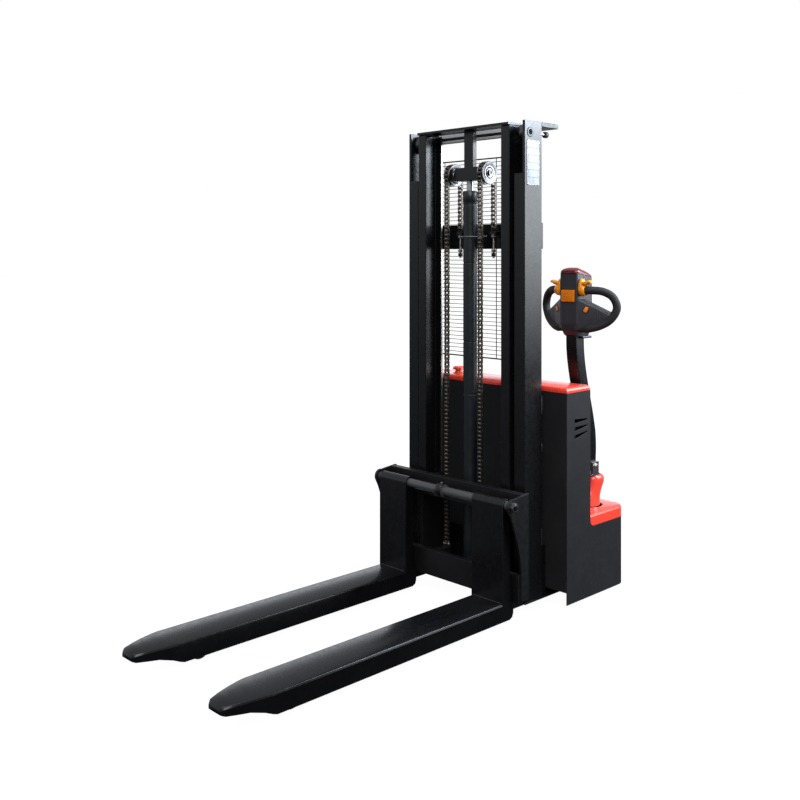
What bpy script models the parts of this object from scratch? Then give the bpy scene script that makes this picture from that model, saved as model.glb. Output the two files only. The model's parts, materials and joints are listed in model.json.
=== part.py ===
"""Walkie stacker: a pedestrian lift truck with a two-stage mast, built as separate parts.

The forks point to -Y, the operator stands at +Y and the floor is Z = 0.
Every length is in metres. The mast's middle lies at X = MAST_X, its front plane at Y = MAST_Y.
"""
import math

import bmesh
import bpy
from mathutils import Matrix, Vector

# ---- driving dimensions ---------------------------------------------------------------
GAP = 0.0003                    # clearance between touching pieces
MAST_X = -0.0404                # middle of the mast; the offset tiller shifts the whole truck
MAST_Y = 0.3785                 # front plane of the outer mast rails
MAST_TOP = 1.850                # lowered mast height
MAST_HALF = 0.305               # half width over the outer rails
RAIL_DEPTH = 0.100              # rail size from front to back
RAIL_WALL = 0.011               # rail web and flange thickness
OUTER_FLANGE = 0.051            # outer rail width across the flanges
INNER_FLANGE = 0.042            # inner rail width across the flanges
RAIL_SIDE_GAP = 0.014           # between the outer flange tips and the inner web
INNER_LEAD = 0.012              # how far the inner rails stand in front of the outer ones
INNER_BOTTOM = 0.092            # lower end of the inner mast
NOTCH_LENGTH = 0.197            # front flange cut away at the top of the outer rails
FLOOR_TOP = 0.058               # top of the base floor plate
FLOOR_BOTTOM = 0.050            # underside of the base floor plate
TOP_PLATE_THICK = 0.018         # plate across the backs of the outer rails
TOP_PLATE_DEPTH = 0.105
TOP_LIP = 0.043                 # depth of the strip under the front edge of that plate
TOP_BAR_THICK = 0.010           # plate across the tops of the inner rails
TOP_BAR_DEPTH = 0.078
TOP_BAR_DROP = 0.003            # inner mast top below the outer one
CROSSBEAM_BOTTOM = 1.372
CROSSBEAM_TOP = 1.470
CHAIN_ANCHOR = 1.440            # top of the rear chain anchors
CARRIAGE_ANCHOR = 0.188         # top of the front chain anchors
GUARD_HALF = 0.285              # wire guard behind the mast
GUARD_BOTTOM = 0.935
GUARD_TOP = 1.735
GUARD_WIRE = 0.003
GUARD_BORDER = 0.010
GUARD_STANDOFF = 0.0135
GUARD_TAB = 0.020

FORK_CENTRE = 0.249             # fork centre from the middle of the truck
FORK_WIDTH = 0.150
FORK_TOP = 0.096                # lowered fork height
FORK_BOTTOM = 0.030
FORK_LENGTH = 1.167             # tip to the front of the shank
FORK_WALL = 0.007
SHANK_THICK = 0.042
SHANK_LEAD = 0.108              # back of the shank in front of the mast plane
HEEL_LEAD = 0.090               # back of the heel in front of the mast plane
TAPER_LENGTH = 0.152            # tapered stretch at the fork tip

SHAFT_RADIUS = 0.017            # fork shaft
SHAFT_Z = 0.4455
SLEEVE_WALL = 0.0067
COLLAR_WIDTH = 0.030
COLLAR_RADIUS = SHAFT_RADIUS + 0.010
GUSSET_INSIDE = 0.342           # inner face of the carriage gussets
GUSSET_THICK = 0.010
CARRIAGE_TOP = 0.478

LEG_WIDTH = 0.100
LEG_TOP = 0.086
LOAD_WHEEL_RADIUS = 0.039
LOAD_WHEEL_WIDTH = 0.056
LOAD_WHEEL_SETBACK = 0.257      # load wheel axle behind the fork tip

CYLINDER_BACK = 0.037           # cylinder axis behind the mast plane
BARREL_RADIUS = 0.0275
BARREL_TOP = 1.601
ROD_RADIUS = 0.014
ROD_TOP = 1.641
PULLEY_X = 0.088
PULLEY_Z = 1.667
PULLEY_RADIUS = 0.045
PULLEY_WIDTH = 0.030
CHAIN_RADIUS = 0.040            # chain centreline around the pulley
CHAIN_THICK = 0.0115
CHAIN_WIDTH = 0.020

BODY_HALF = 0.385               # half width of the chassis
BODY_FRONT = 0.150              # chassis front behind the mast plane
BODY_BACK = 0.560               # rearmost point of the chassis
BODY_SIDE_BACK = 0.544          # rear end of the chassis side
CORNER_RADIUS = 0.055
SHEET = 0.003                   # cover sheet thickness
BODY_BOTTOM = 0.031
BODY_TOP = 0.827
FRONT_BOTTOM = 0.077            # lower edge of the front cover
TOWER_BACK = 0.296              # back of the tall front housing
DECK_BOTTOM = 0.2997
DECK_TOP = 0.345
COVER_RISE = 0.021              # height of the red top cover
COVER_BEVEL = 0.012
X_SEAM = 0.150                  # side covers meet the rear cover here
KEY_X = -0.090                  # key switch on the operator panel
KEY_Z = 0.700
KNOB_X = -0.215                 # emergency switch on the top cover
KNOB_BACK = 0.205
KNOB_TRAVEL = 0.005
BATTERY_WIDTH = 0.250
BATTERY_DEPTH = 0.168
BATTERY_HEIGHT = 0.205
BATTERY_SHIFT = -0.055          # middle of the pair, clear of the steered drive

STEER_X = 0.280                 # steering axis
STEER_BACK = 0.435              # steering axis behind the mast plane
DRIVE_RADIUS = 0.090
DRIVE_WIDTH = 0.055
MOUNT_TOP = 0.232               # top of the plate that carries the drive and the caster
MOUNT_THICK = 0.010
SHELF_TOP = 0.293               # shelf above the batteries
TILLER_Z = 0.504                # tiller pivot height
TILLER_SIZE = 0.050             # tiller tube width
TILLER_FOOT_DEPTH = 0.046       # tiller tube depth at its pivot
TILLER_DEPTH = 0.060            # tiller tube depth higher up
TILLER_LEAN = 0.088             # how far the tiller head stands in front of its pivot
HEAD_BOTTOM = 1.028
HEAD_TOP = 1.276
HEAD_HALF = 0.0425
HEAD_DEPTH = 0.106
GRIP_REACH = 0.169              # outermost grip centreline from the tiller's middle
GRIP_RADIUS = 0.0158
GRIP_RISE = 0.182               # upper grip socket above the head's lower end
WING_THICK = 0.040
WING_SWEEP = 0.55               # set-back of the wings per length outwards
BUTTON_RISE = 0.159             # middle of the safety button above the head's lower end
BUTTON_HALF = 0.031
FINGER_OUT = 0.070              # finger buttons from the tiller's middle
FINGER_RISE = 0.107

CASTER_X = -0.270
CASTER_RADIUS = 0.060
CASTER_WIDTH = 0.036
CASTER_TRAIL = 0.025
ROLLER_RADIUS = 0.0365          # mast and carriage guide rollers
ROLLER_WIDTH = 0.024
STUB_RADIUS = 0.010
ROLLER_DROP = 0.043             # mast roller axes below the mast top
CARRIAGE_ROLLER_Z = 0.415

INNER_HALF = MAST_HALF - OUTER_FLANGE - RAIL_SIDE_GAP
FORK_TIP = SHANK_LEAD + SHANK_THICK + FORK_LENGTH
LOAD_WHEEL_LEAD = FORK_TIP - LOAD_WHEEL_SETBACK
SHAFT_Y = -(SHANK_LEAD + SHANK_THICK - SHAFT_RADIUS - SLEEVE_WALL)
RAIL_MIDDLE = RAIL_DEPTH / 2
INNER_MIDDLE = RAIL_MIDDLE - INNER_LEAD
ROLLER_IN = MAST_HALF - OUTER_FLANGE + 0.008    # inner face of a mast roller
ROLLER_Z = MAST_TOP - ROLLER_DROP
HEAD_BACK = STEER_BACK - TILLER_LEAN + 0.007
GRIP_BACK = HEAD_BACK - 0.030
LEVER_RUN = HEAD_HALF + 0.018   # straight stretch of the grips that the thumb levers turn on
TAB_FRONT = 118                 # lever tab's edges, in degrees about the grip's root
TAB_BACK = 71
WING_FRONT = HEAD_BACK - HEAD_DEPTH / 2 + 0.006
BUTTON_Z = HEAD_BOTTOM + BUTTON_RISE

# ---- materials ------------------------------------------------------------------------
COLOURS = {
    "black_steel": ((0.016, 0.016, 0.018), 0.42, 0.3),
    "black_plastic": ((0.022, 0.021, 0.023), 0.55, 0.0),
    "charcoal_plastic": ((0.060, 0.060, 0.068), 0.5, 0.0),
    "red_cover": ((0.72, 0.045, 0.025), 0.32, 0.0),
    "amber_plastic": ((0.85, 0.26, 0.01), 0.4, 0.0),
    "bright_steel": ((0.62, 0.62, 0.64), 0.25, 1.0),
    "chain_steel": ((0.20, 0.15, 0.11), 0.4, 0.9),
    "wheel_tread": ((0.10, 0.09, 0.08), 0.7, 0.0),
    "grey_casing": ((0.25, 0.26, 0.27), 0.5, 0.2),
}


def material(name):
    """Return the Principled material of that name, made once."""
    found = bpy.data.materials.get(name)
    if found:
        return found
    colour, roughness, metallic = COLOURS[name]
    made = bpy.data.materials.new(name)
    made.use_nodes = True
    shader = made.node_tree.nodes["Principled BSDF"]
    shader.inputs["Base Color"].default_value = (*colour, 1.0)
    shader.inputs["Roughness"].default_value = roughness
    shader.inputs["Metallic"].default_value = metallic
    return made


# ---- shape helpers: each returns a bmesh in the truck's own frame, mast plane at Y = 0 ----
def box(low, high):
    """A box between two corners."""
    mesh = bmesh.new()
    bmesh.ops.create_cube(mesh, size=1.0)
    low, high = Vector(low), Vector(high)
    for vertex in mesh.verts:
        share = vertex.co + Vector((0.5, 0.5, 0.5))
        vertex.co = low + Vector([share[i] * (high[i] - low[i]) for i in range(3)])
    return mesh


def loft(rings):
    """A closed solid through rings of equal point counts, with flat end caps."""
    mesh = bmesh.new()
    rows = [[mesh.verts.new(point) for point in ring] for ring in rings]
    count = len(rows[0])
    for near, far in zip(rows, rows[1:]):
        for i in range(count):
            j = (i + 1) % count
            mesh.faces.new((near[i], near[j], far[j], far[i]))
    mesh.faces.new(rows[0])
    mesh.faces.new(rows[-1])
    bmesh.ops.recalc_face_normals(mesh, faces=mesh.faces)
    return mesh


def prism(outline, axis, low, high):
    """Extrude an outline along X, Y or Z. Its points hold the two other coordinates in order."""
    def point(pair, height):
        values = list(pair)
        values.insert("XYZ".index(axis), height)
        return values
    return loft([[point(pair, low) for pair in outline], [point(pair, high) for pair in outline]])


def arc(centre, radius, start, stop, steps):
    """Points on an arc in a plane, angles in degrees."""
    angles = [math.radians(start + (stop - start) * i / steps) for i in range(steps + 1)]
    return [(centre[0] + radius * math.cos(a), centre[1] + radius * math.sin(a)) for a in angles]


def circle(centre, radius, sides=32):
    """Points of a full circle in a plane."""
    return arc(centre, radius, 0, 360 * (sides - 1) / sides, sides - 1)


def rod(axis, centre, radius, low, high, sides=32):
    """A round bar along an axis; the centre holds the two other coordinates."""
    return prism(circle(centre, radius, sides), axis, low, high)


def tube_along(path, radius, sides=12):
    """A round bar swept along a path that lies near one plane."""
    points = [Vector(p) for p in path]
    normal = Vector((0, 1, 0))
    rings = []
    for i, here in enumerate(points):
        before, after = points[max(i - 1, 0)], points[min(i + 1, len(points) - 1)]
        along = (after - before).normalized()
        side = along.cross(normal).normalized()
        up = side.cross(along)
        turn = [2 * math.pi * k / sides for k in range(sides)]
        rings.append([here + radius * (math.cos(t) * side + math.sin(t) * up) for t in turn])
    return loft(rings)


def turned(profile, axis_x, axis_y, sides=32):
    """Turn (radius, z) pairs about a vertical axis, bottom to top."""
    rings = [[(axis_x + x, axis_y + y, z) for x, y in circle((0, 0), r, sides)] for r, z in profile]
    return loft(rings)


def bevelled(mesh, width, wanted, segments=2):
    """Bevel the edges whose two ends both satisfy the test."""
    edges = [e for e in mesh.edges if all(wanted(v.co) for v in e.verts)]
    bmesh.ops.bevel(mesh, geom=edges, offset=width, segments=segments, affect="EDGES", profile=0.5)
    return mesh


def scratch(mesh):
    """Put a bmesh into a temporary object."""
    data = bpy.data.meshes.new("scratch")
    mesh.to_mesh(data)
    mesh.free()
    made = bpy.data.objects.new("scratch", data)
    bpy.context.scene.collection.objects.link(made)
    return made


def solid(shapes, cuts=(), limits=()):
    """Union the shapes, take the cuts away, keep what lies in the limits, and return one bmesh."""
    base = scratch(shapes[0])
    helpers = []
    for operation, group in (("UNION", shapes[1:]), ("DIFFERENCE", cuts), ("INTERSECT", limits)):
        for shape in group:
            helper = scratch(shape)
            modifier = base.modifiers.new("step", "BOOLEAN")
            modifier.operation = operation
            modifier.object = helper
            helpers.append(helper)
    bpy.context.view_layer.update()
    evaluated = base.evaluated_get(bpy.context.evaluated_depsgraph_get())
    result = bmesh.new()
    result.from_mesh(evaluated.to_mesh())
    evaluated.to_mesh_clear()
    for helper in helpers + [base]:
        bpy.data.objects.remove(helper, do_unlink=True)
    bmesh.ops.remove_doubles(result, verts=result.verts, dist=1e-6)
    bmesh.ops.dissolve_limit(result, angle_limit=math.radians(0.05), verts=result.verts,
                             edges=result.edges)
    return result


def add(name, mesh, look, origin=None, smooth=30.0):
    """Make the named object, with its origin at a point given in the truck's own frame."""
    home = Vector(origin) if origin else Vector((0, 0, 0))
    bmesh.ops.transform(mesh, matrix=Matrix.Translation(-home), verts=mesh.verts)
    bmesh.ops.recalc_face_normals(mesh, faces=mesh.faces)
    data = bpy.data.meshes.new(name)
    mesh.to_mesh(data)
    mesh.free()
    data.materials.append(material(look))
    data.shade_smooth()
    data.set_sharp_from_angle(angle=math.radians(smooth))
    made = bpy.data.objects.new(name, data)
    made.location = home + Vector((MAST_X, MAST_Y, 0))
    bpy.context.scene.collection.objects.link(made)
    return made


def both_sides():
    """Name endings and signs of the left (-X) and right (+X) copies."""
    return (("left", -1), ("right", 1))


def span(side, inner, outer):
    """Low and high X of a stretch given by its distances from the middle."""
    return (inner, outer) if side > 0 else (-outer, -inner)


# ---- base frame, legs and load wheels ---------------------------------------------------
def make_base_frame():
    """Welded floor plate, cheeks and the plate that carries the drive and the caster."""
    bulkhead = BODY_FRONT + SHEET + 0.187
    mount_low = MOUNT_TOP - MOUNT_THICK
    inside = BODY_HALF - SHEET - 0.007
    rear = STEER_BACK + 0.050
    post_front = BODY_FRONT + 0.070
    shelf_front = BODY_FRONT + SHEET + 0.001
    shapes = [
        box((-MAST_HALF, 0, FLOOR_BOTTOM), (MAST_HALF, bulkhead, FLOOR_TOP)),
        box((-inside, post_front, FLOOR_BOTTOM), (inside, bulkhead, FLOOR_TOP)),
        box((-inside, bulkhead - 0.006, FLOOR_BOTTOM), (inside, bulkhead, MOUNT_TOP)),
        box((-inside, bulkhead - 0.006, mount_low), (inside, rear, MOUNT_TOP)),
        box((-MAST_HALF + 0.02, RAIL_DEPTH + GAP, FLOOR_TOP - 0.004),
            (MAST_HALF - 0.02, RAIL_DEPTH + 0.008, 0.250)),
        box((-inside, shelf_front, SHELF_TOP - 0.008), (inside, TOWER_BACK - 0.002, SHELF_TOP)),
    ]
    for _, side in both_sides():
        low, high = span(side, inside - 0.018, inside)
        shapes.append(box((low, post_front, FLOOR_BOTTOM), (high, post_front + 0.022, SHELF_TOP)))
        low, high = span(side, MAST_HALF - 0.030, MAST_HALF - 0.020)
        shapes.append(box((low, RAIL_DEPTH + 0.004, FLOOR_TOP - 0.004),
                          (high, BODY_FRONT - GAP, 0.240)))
    cuts = [rod("Z", (STEER_X, STEER_BACK), 0.046, mount_low - 0.02, MOUNT_TOP + 0.02)]
    add("base_frame", solid(shapes, cuts), "black_steel")


def make_legs():
    """Support legs that run inside the forks, each with a clevis and axle for its load wheel."""
    slot = LOAD_WHEEL_WIDTH / 2 + 0.0025
    end = LOAD_WHEEL_LEAD + 0.060
    for name, side in both_sides():
        middle = side * FORK_CENTRE
        half = LEG_WIDTH / 2
        bar = box((middle - half, -end, FLOOR_BOTTOM), (middle + half, -GAP, LEG_TOP))
        ears = [box((middle + s * slot if s > 0 else middle - half, -end, 0.022),
                    (middle + half if s > 0 else middle - slot, -LOAD_WHEEL_LEAD + 0.03, LEG_TOP - 0.01))
                for s in (-1, 1)]
        hole = box((middle - slot, -end - 0.01, 0), (middle + slot, -LOAD_WHEEL_LEAD + 0.045, 0.1))
        trimmed = solid([bar, *ears], [hole])
        axle = rod("X", (-LOAD_WHEEL_LEAD, LOAD_WHEEL_RADIUS), STUB_RADIUS,
                   middle - half + 0.002, middle + half - 0.002, 24)
        add("leg_" + name, solid([trimmed, axle]), "black_steel")


def ring_wheel(centre_x, y, z, radius, width, bore, crown=0.003):
    """A wheel about an X axis, with a crowned rim and a through bore."""
    low, high = centre_x - width / 2, centre_x + width / 2
    stations = [(low, radius - crown), (low + crown, radius), (high - crown, radius),
                (high, radius - crown)]
    body = loft([[(x, y + a, z + b) for a, b in circle((0, 0), r, 32)] for x, r in stations])
    return solid([body], [rod("X", (y, z), bore, low - 0.01, high + 0.01, 24)])


def make_load_wheels():
    """Small polyurethane wheels under the fork tips."""
    for name, side in both_sides():
        centre = (side * FORK_CENTRE, -LOAD_WHEEL_LEAD, LOAD_WHEEL_RADIUS)
        wheel = ring_wheel(centre[0], centre[1], centre[2], LOAD_WHEEL_RADIUS, LOAD_WHEEL_WIDTH,
                           STUB_RADIUS + GAP)
        add("load_wheel_" + name, wheel, "wheel_tread", centre)


# ---- outer mast -------------------------------------------------------------------------
def channel(side, outside, flange, front, depth, wall, low, high):
    """A C-section rail that opens towards the middle of the mast."""
    outline = [(outside, front), (outside, front + depth), (outside - flange, front + depth),
               (outside - flange, front + depth - wall), (outside - wall, front + depth - wall),
               (outside - wall, front + wall), (outside - flange, front + wall),
               (outside - flange, front)]
    return prism([(side * x, y) for x, y in outline], "Z", low, high)


def make_outer_mast():
    """Fixed rails with notched tops, the rear top plate and the middle crossbeam."""
    notch_low = MAST_TOP - NOTCH_LENGTH
    for name, side in both_sides():
        rail = channel(side, MAST_HALF, OUTER_FLANGE, 0, RAIL_DEPTH, RAIL_WALL,
                       FLOOR_TOP + GAP, MAST_TOP)
        low, high = span(side, MAST_HALF - OUTER_FLANGE - 0.01, MAST_HALF - RAIL_WALL - GAP)
        notch = box((low, -0.01, notch_low), (high, RAIL_WALL + 0.001, MAST_TOP + 0.01))
        stub_low, stub_high = span(side, ROLLER_IN - 0.002, MAST_HALF - RAIL_WALL + 0.002)
        stub = rod("X", (RAIL_MIDDLE, ROLLER_Z), STUB_RADIUS, stub_low, stub_high, 20)
        add("outer_rail_" + name, solid([rail, stub], [notch]), "black_steel")
        roller = ring_wheel(side * (ROLLER_IN + ROLLER_WIDTH / 2), RAIL_MIDDLE, ROLLER_Z,
                            ROLLER_RADIUS, ROLLER_WIDTH, STUB_RADIUS + GAP, 0.002)
        add("mast_roller_" + name, roller, "bright_steel",
            (side * (ROLLER_IN + ROLLER_WIDTH / 2), RAIL_MIDDLE, ROLLER_Z))
    plate = box((-MAST_HALF, RAIL_DEPTH + GAP, MAST_TOP - TOP_PLATE_THICK),
                (MAST_HALF, RAIL_DEPTH + TOP_PLATE_DEPTH, MAST_TOP))
    lip = box((-MAST_HALF + 0.012, RAIL_DEPTH + GAP, MAST_TOP - TOP_LIP),
              (MAST_HALF - 0.012, RAIL_DEPTH + 0.010, MAST_TOP - 0.010))
    add("outer_top_plate", solid([plate, lip]), "black_steel")
    beam = box((-MAST_HALF + 0.002, RAIL_DEPTH + GAP, CROSSBEAM_BOTTOM),
               (MAST_HALF - 0.002, RAIL_DEPTH + 0.012, CROSSBEAM_TOP))
    chain_back = CYLINDER_BACK + CHAIN_RADIUS
    tabs = [box((side * PULLEY_X - 0.015, chain_back - 0.009, CHAIN_ANCHOR - 0.012),
                (side * PULLEY_X + 0.015, RAIL_DEPTH + 0.004, CHAIN_ANCHOR))
            for _, side in both_sides()]
    add("mid_crossbeam", solid([beam, *tabs]), "black_steel")


def make_mesh_guard():
    """Wire guard behind the mast: a frame with horizontal wires and four fixing tabs."""
    half, wire, bar = GUARD_HALF, GUARD_WIRE, GUARD_BORDER
    front = RAIL_DEPTH + GUARD_STANDOFF
    low, high = GUARD_BOTTOM, GUARD_TOP
    rows, columns = 24, 4
    opening_w = (2 * half - 2 * bar - (columns - 1) * wire) / columns
    opening_h = (high - low - 2 * bar - (rows - 1) * wire) / rows
    xs, zs = [-half], [low]
    for count, size, values in ((columns, opening_w, xs), (rows, opening_h, zs)):
        values.append(values[0] + bar)
        for i in range(count):
            values.append(values[-1] + size)
            values.append(values[-1] + (wire if i < count - 1 else bar))
    mesh = bmesh.new()
    grid = [[mesh.verts.new((x, front, z)) for x in xs] for z in zs]
    for i in range(len(zs) - 1):
        for j in range(len(xs) - 1):
            if i % 2 == 0 or j % 2 == 0:
                mesh.faces.new((grid[i][j], grid[i][j + 1], grid[i + 1][j + 1], grid[i + 1][j]))
    made = bmesh.ops.extrude_face_region(mesh, geom=list(mesh.faces))
    moved = [v for v in made["geom"] if isinstance(v, bmesh.types.BMVert)]
    bmesh.ops.translate(mesh, verts=moved, vec=(0, wire, 0))
    bmesh.ops.recalc_face_normals(mesh, faces=mesh.faces)
    tab_x = half - GUARD_TAB / 2 - 0.002
    tabs = [box((side * tab_x - GUARD_TAB / 2, RAIL_DEPTH + GAP, z),
                (side * tab_x + GUARD_TAB / 2, front + 0.002, z + GUARD_TAB))
            for _, side in both_sides() for z in (low + 0.001, high - GUARD_TAB - 0.001)]
    add("mesh_guard", solid([mesh, *tabs]), "black_steel")


def make_cylinder():
    """Lift cylinder: a barrel with two joint rings, and the rod that pushes the inner mast."""
    profile = [(BARREL_RADIUS + 0.012, FLOOR_TOP + GAP), (BARREL_RADIUS + 0.012, FLOOR_TOP + 0.020),
               (BARREL_RADIUS, FLOOR_TOP + 0.020)]
    for z in (1.315, 1.555):
        profile += [(BARREL_RADIUS, z - 0.008), (BARREL_RADIUS + 0.002, z - 0.008),
                    (BARREL_RADIUS + 0.002, z + 0.008), (BARREL_RADIUS, z + 0.008)]
    profile.append((BARREL_RADIUS, BARREL_TOP))
    depth = rod("Z", (0, CYLINDER_BACK), ROD_RADIUS + GAP, FLOOR_TOP + 0.050, BARREL_TOP + 0.01, 24)
    barrel = solid([turned(profile, 0, CYLINDER_BACK)], [depth])
    add("lift_cylinder", barrel, "black_steel")
    piston = rod("Z", (0, CYLINDER_BACK), ROD_RADIUS, FLOOR_TOP + 0.060, ROD_TOP - GAP, 24)
    add("piston_rod", piston, "bright_steel")


# ---- inner mast -------------------------------------------------------------------------
def make_inner_mast():
    """Sliding rails, the frame that joins them at the top and the bar at the bottom."""
    bar_top = MAST_TOP - TOP_BAR_DROP
    bar_bottom = bar_top - TOP_BAR_THICK
    back = RAIL_DEPTH - INNER_LEAD
    for name, side in both_sides():
        rail = channel(side, INNER_HALF, INNER_FLANGE, -INNER_LEAD, RAIL_DEPTH, RAIL_WALL,
                       INNER_BOTTOM, bar_bottom - GAP)
        add("inner_rail_" + name, rail, "black_steel")
    lead = INNER_LEAD + 0.008
    top_bar = box((-INNER_HALF, -lead, bar_bottom), (INNER_HALF, TOP_BAR_DEPTH - lead, bar_top))
    post = box((-0.0235, CYLINDER_BACK - 0.010, ROD_TOP + 0.03),
               (0.0235, CYLINDER_BACK + 0.012, bar_bottom + 0.004))
    half = PULLEY_X - PULLEY_WIDTH / 2 - 0.012
    crosshead = box((-half, CYLINDER_BACK - 0.024, ROD_TOP),
                    (half, CYLINDER_BACK + 0.024, PULLEY_Z + 0.026))
    axle_end = PULLEY_X + PULLEY_WIDTH / 2 + 0.006
    axle = rod("X", (CYLINDER_BACK, PULLEY_Z), 0.012, -axle_end, axle_end, 24)
    frame = solid([top_bar, post, crosshead, axle])
    add("inner_top_frame", frame, "black_steel")
    inside = INNER_HALF - INNER_FLANGE - GAP
    bottom = box((-inside, back - 0.019, INNER_BOTTOM), (inside, back, INNER_BOTTOM + 0.025))
    add("inner_bottom_bar", bottom, "black_steel")


def make_pulleys():
    """Chain pulleys on the crosshead axle, with a groove as wide as the chain."""
    lip = (PULLEY_WIDTH - CHAIN_WIDTH) / 2 - GAP
    groove = CHAIN_RADIUS - CHAIN_THICK / 2 - GAP
    for name, side in both_sides():
        centre = side * PULLEY_X
        low, high = centre - PULLEY_WIDTH / 2, centre + PULLEY_WIDTH / 2
        stations = [(low, PULLEY_RADIUS), (low + lip, PULLEY_RADIUS), (low + lip, groove),
                    (high - lip, groove), (high - lip, PULLEY_RADIUS), (high, PULLEY_RADIUS)]
        rings = [[(x, CYLINDER_BACK + a, PULLEY_Z + b) for a, b in circle((0, 0), r, 32)]
                 for x, r in stations]
        bore = rod("X", (CYLINDER_BACK, PULLEY_Z), 0.012 + GAP, low - 0.01, high + 0.01, 24)
        add("pulley_" + name, solid([loft(rings)], [bore]), "bright_steel",
            (centre, CYLINDER_BACK, PULLEY_Z))


def make_chains():
    """Lift chains: the front strand, and the rear strand with the turn over the pulley."""
    half = CHAIN_THICK / 2
    front = CYLINDER_BACK - CHAIN_RADIUS
    for name, side in both_sides():
        low, high = side * PULLEY_X - CHAIN_WIDTH / 2, side * PULLEY_X + CHAIN_WIDTH / 2
        strand = box((low, front - half, CARRIAGE_ANCHOR + GAP), (high, front + half, PULLEY_Z - GAP))
        add("chain_front_" + name, strand, "chain_steel")
        outer = arc((CYLINDER_BACK, PULLEY_Z), CHAIN_RADIUS + half, 180, 0, 16)
        inner = arc((CYLINDER_BACK, PULLEY_Z), CHAIN_RADIUS - half, 0, 180, 16)
        back = CYLINDER_BACK + CHAIN_RADIUS
        ends = [(back + half, CHAIN_ANCHOR + GAP), (back - half, CHAIN_ANCHOR + GAP)]
        add("chain_rear_" + name, prism(outer + ends + inner, "X", low, high), "chain_steel")


# ---- carriage and forks -----------------------------------------------------------------
def gusset_outline():
    """Side plate in the YZ plane: round nose about the shaft and a hollow front edge."""
    back = -0.037
    outline = [(back, 0.093), (back, CARRIAGE_TOP + 0.002)]
    outline += arc((SHAFT_Y, SHAFT_Z), 0.027, 75, 200, 9)
    steps = 8
    for i in range(steps + 1):
        share = i / steps
        z = SHAFT_Z - 0.035 - (SHAFT_Z - 0.210) * share
        outline.append((-0.138 + 0.060 * math.sin(share * math.pi / 2), z))
    outline.append((-0.078, 0.093))
    return outline


def make_carriage():
    """Welded carriage: gussets, bars, roller brackets with stub axles and chain anchors."""
    bracket = INNER_HALF - INNER_FLANGE - 0.036
    shapes = [
        box((-GUSSET_INSIDE - 0.004, -0.070, 0.396), (GUSSET_INSIDE + 0.004, -0.040, CARRIAGE_TOP)),
        box((-GUSSET_INSIDE - 0.004, GAP - HEEL_LEAD, LEG_TOP + 0.0015),
            (GUSSET_INSIDE + 0.004, -0.065, CARRIAGE_ANCHOR)),
    ]
    holes = []
    for _, side in both_sides():
        low, high = span(side, GUSSET_INSIDE, GUSSET_INSIDE + GUSSET_THICK)
        shapes.append(prism(gusset_outline(), "X", low, high))
        holes.append(rod("X", (SHAFT_Y, SHAFT_Z), STUB_RADIUS + GAP, low - 0.01, high + 0.01, 24))
        low, high = span(side, bracket, bracket + 0.012)
        shapes.append(box((low, -0.068, 0.110), (high, 0.062, 0.462)))
        chain_front = CYLINDER_BACK - CHAIN_RADIUS
        shapes.append(box((side * PULLEY_X - 0.015, -0.068, CARRIAGE_ANCHOR - 0.040),
                          (side * PULLEY_X + 0.015, chain_front + 0.007, CARRIAGE_ANCHOR)))
        low, high = span(side, bracket + 0.010, bracket + 0.0385 + ROLLER_WIDTH)
        shapes.append(rod("X", (INNER_MIDDLE, CARRIAGE_ROLLER_Z), STUB_RADIUS, low, high, 20))
    add("carriage_frame", solid(shapes, holes), "black_steel")
    centre = bracket + 0.0375 + ROLLER_WIDTH / 2
    for name, side in both_sides():
        wheel = ring_wheel(side * centre, INNER_MIDDLE, CARRIAGE_ROLLER_Z, ROLLER_RADIUS, ROLLER_WIDTH,
                           STUB_RADIUS + GAP, 0.002)
        add("carriage_roller_" + name, wheel, "bright_steel",
            (side * centre, INNER_MIDDLE, CARRIAGE_ROLLER_Z))


def make_shaft():
    """Fork shaft with its pinned collar, shouldered ends in the gussets and hexagon heads."""
    inner, outer = GUSSET_INSIDE - GAP, GUSSET_INSIDE + GUSSET_THICK + GAP
    shapes = [rod("X", (SHAFT_Y, SHAFT_Z), SHAFT_RADIUS, -inner, inner),
              rod("X", (SHAFT_Y, SHAFT_Z), STUB_RADIUS, -outer - 0.002, outer + 0.002, 24)]
    for _, side in both_sides():
        low, high = span(side, outer, outer + 0.011)
        shapes.append(rod("X", (SHAFT_Y, SHAFT_Z), 0.0165, low, high, 6))
    shapes.append(rod("X", (SHAFT_Y, SHAFT_Z), COLLAR_RADIUS, -COLLAR_WIDTH / 2, COLLAR_WIDTH / 2))
    add("fork_shaft", solid(shapes), "black_steel")


def blade_ring(middle, y, half, low, high, round_off=0.008):
    """Cross-section of a fork blade with softened top edges."""
    top = [(half, high - round_off), (half - 0.3 * round_off, high - 0.3 * round_off),
           (half - round_off, high)]
    points = [(-half, low), (half, low)] + top + [(-x, z) for x, z in reversed(top)]
    return [(middle + x, y, z) for x, z in points]


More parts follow.
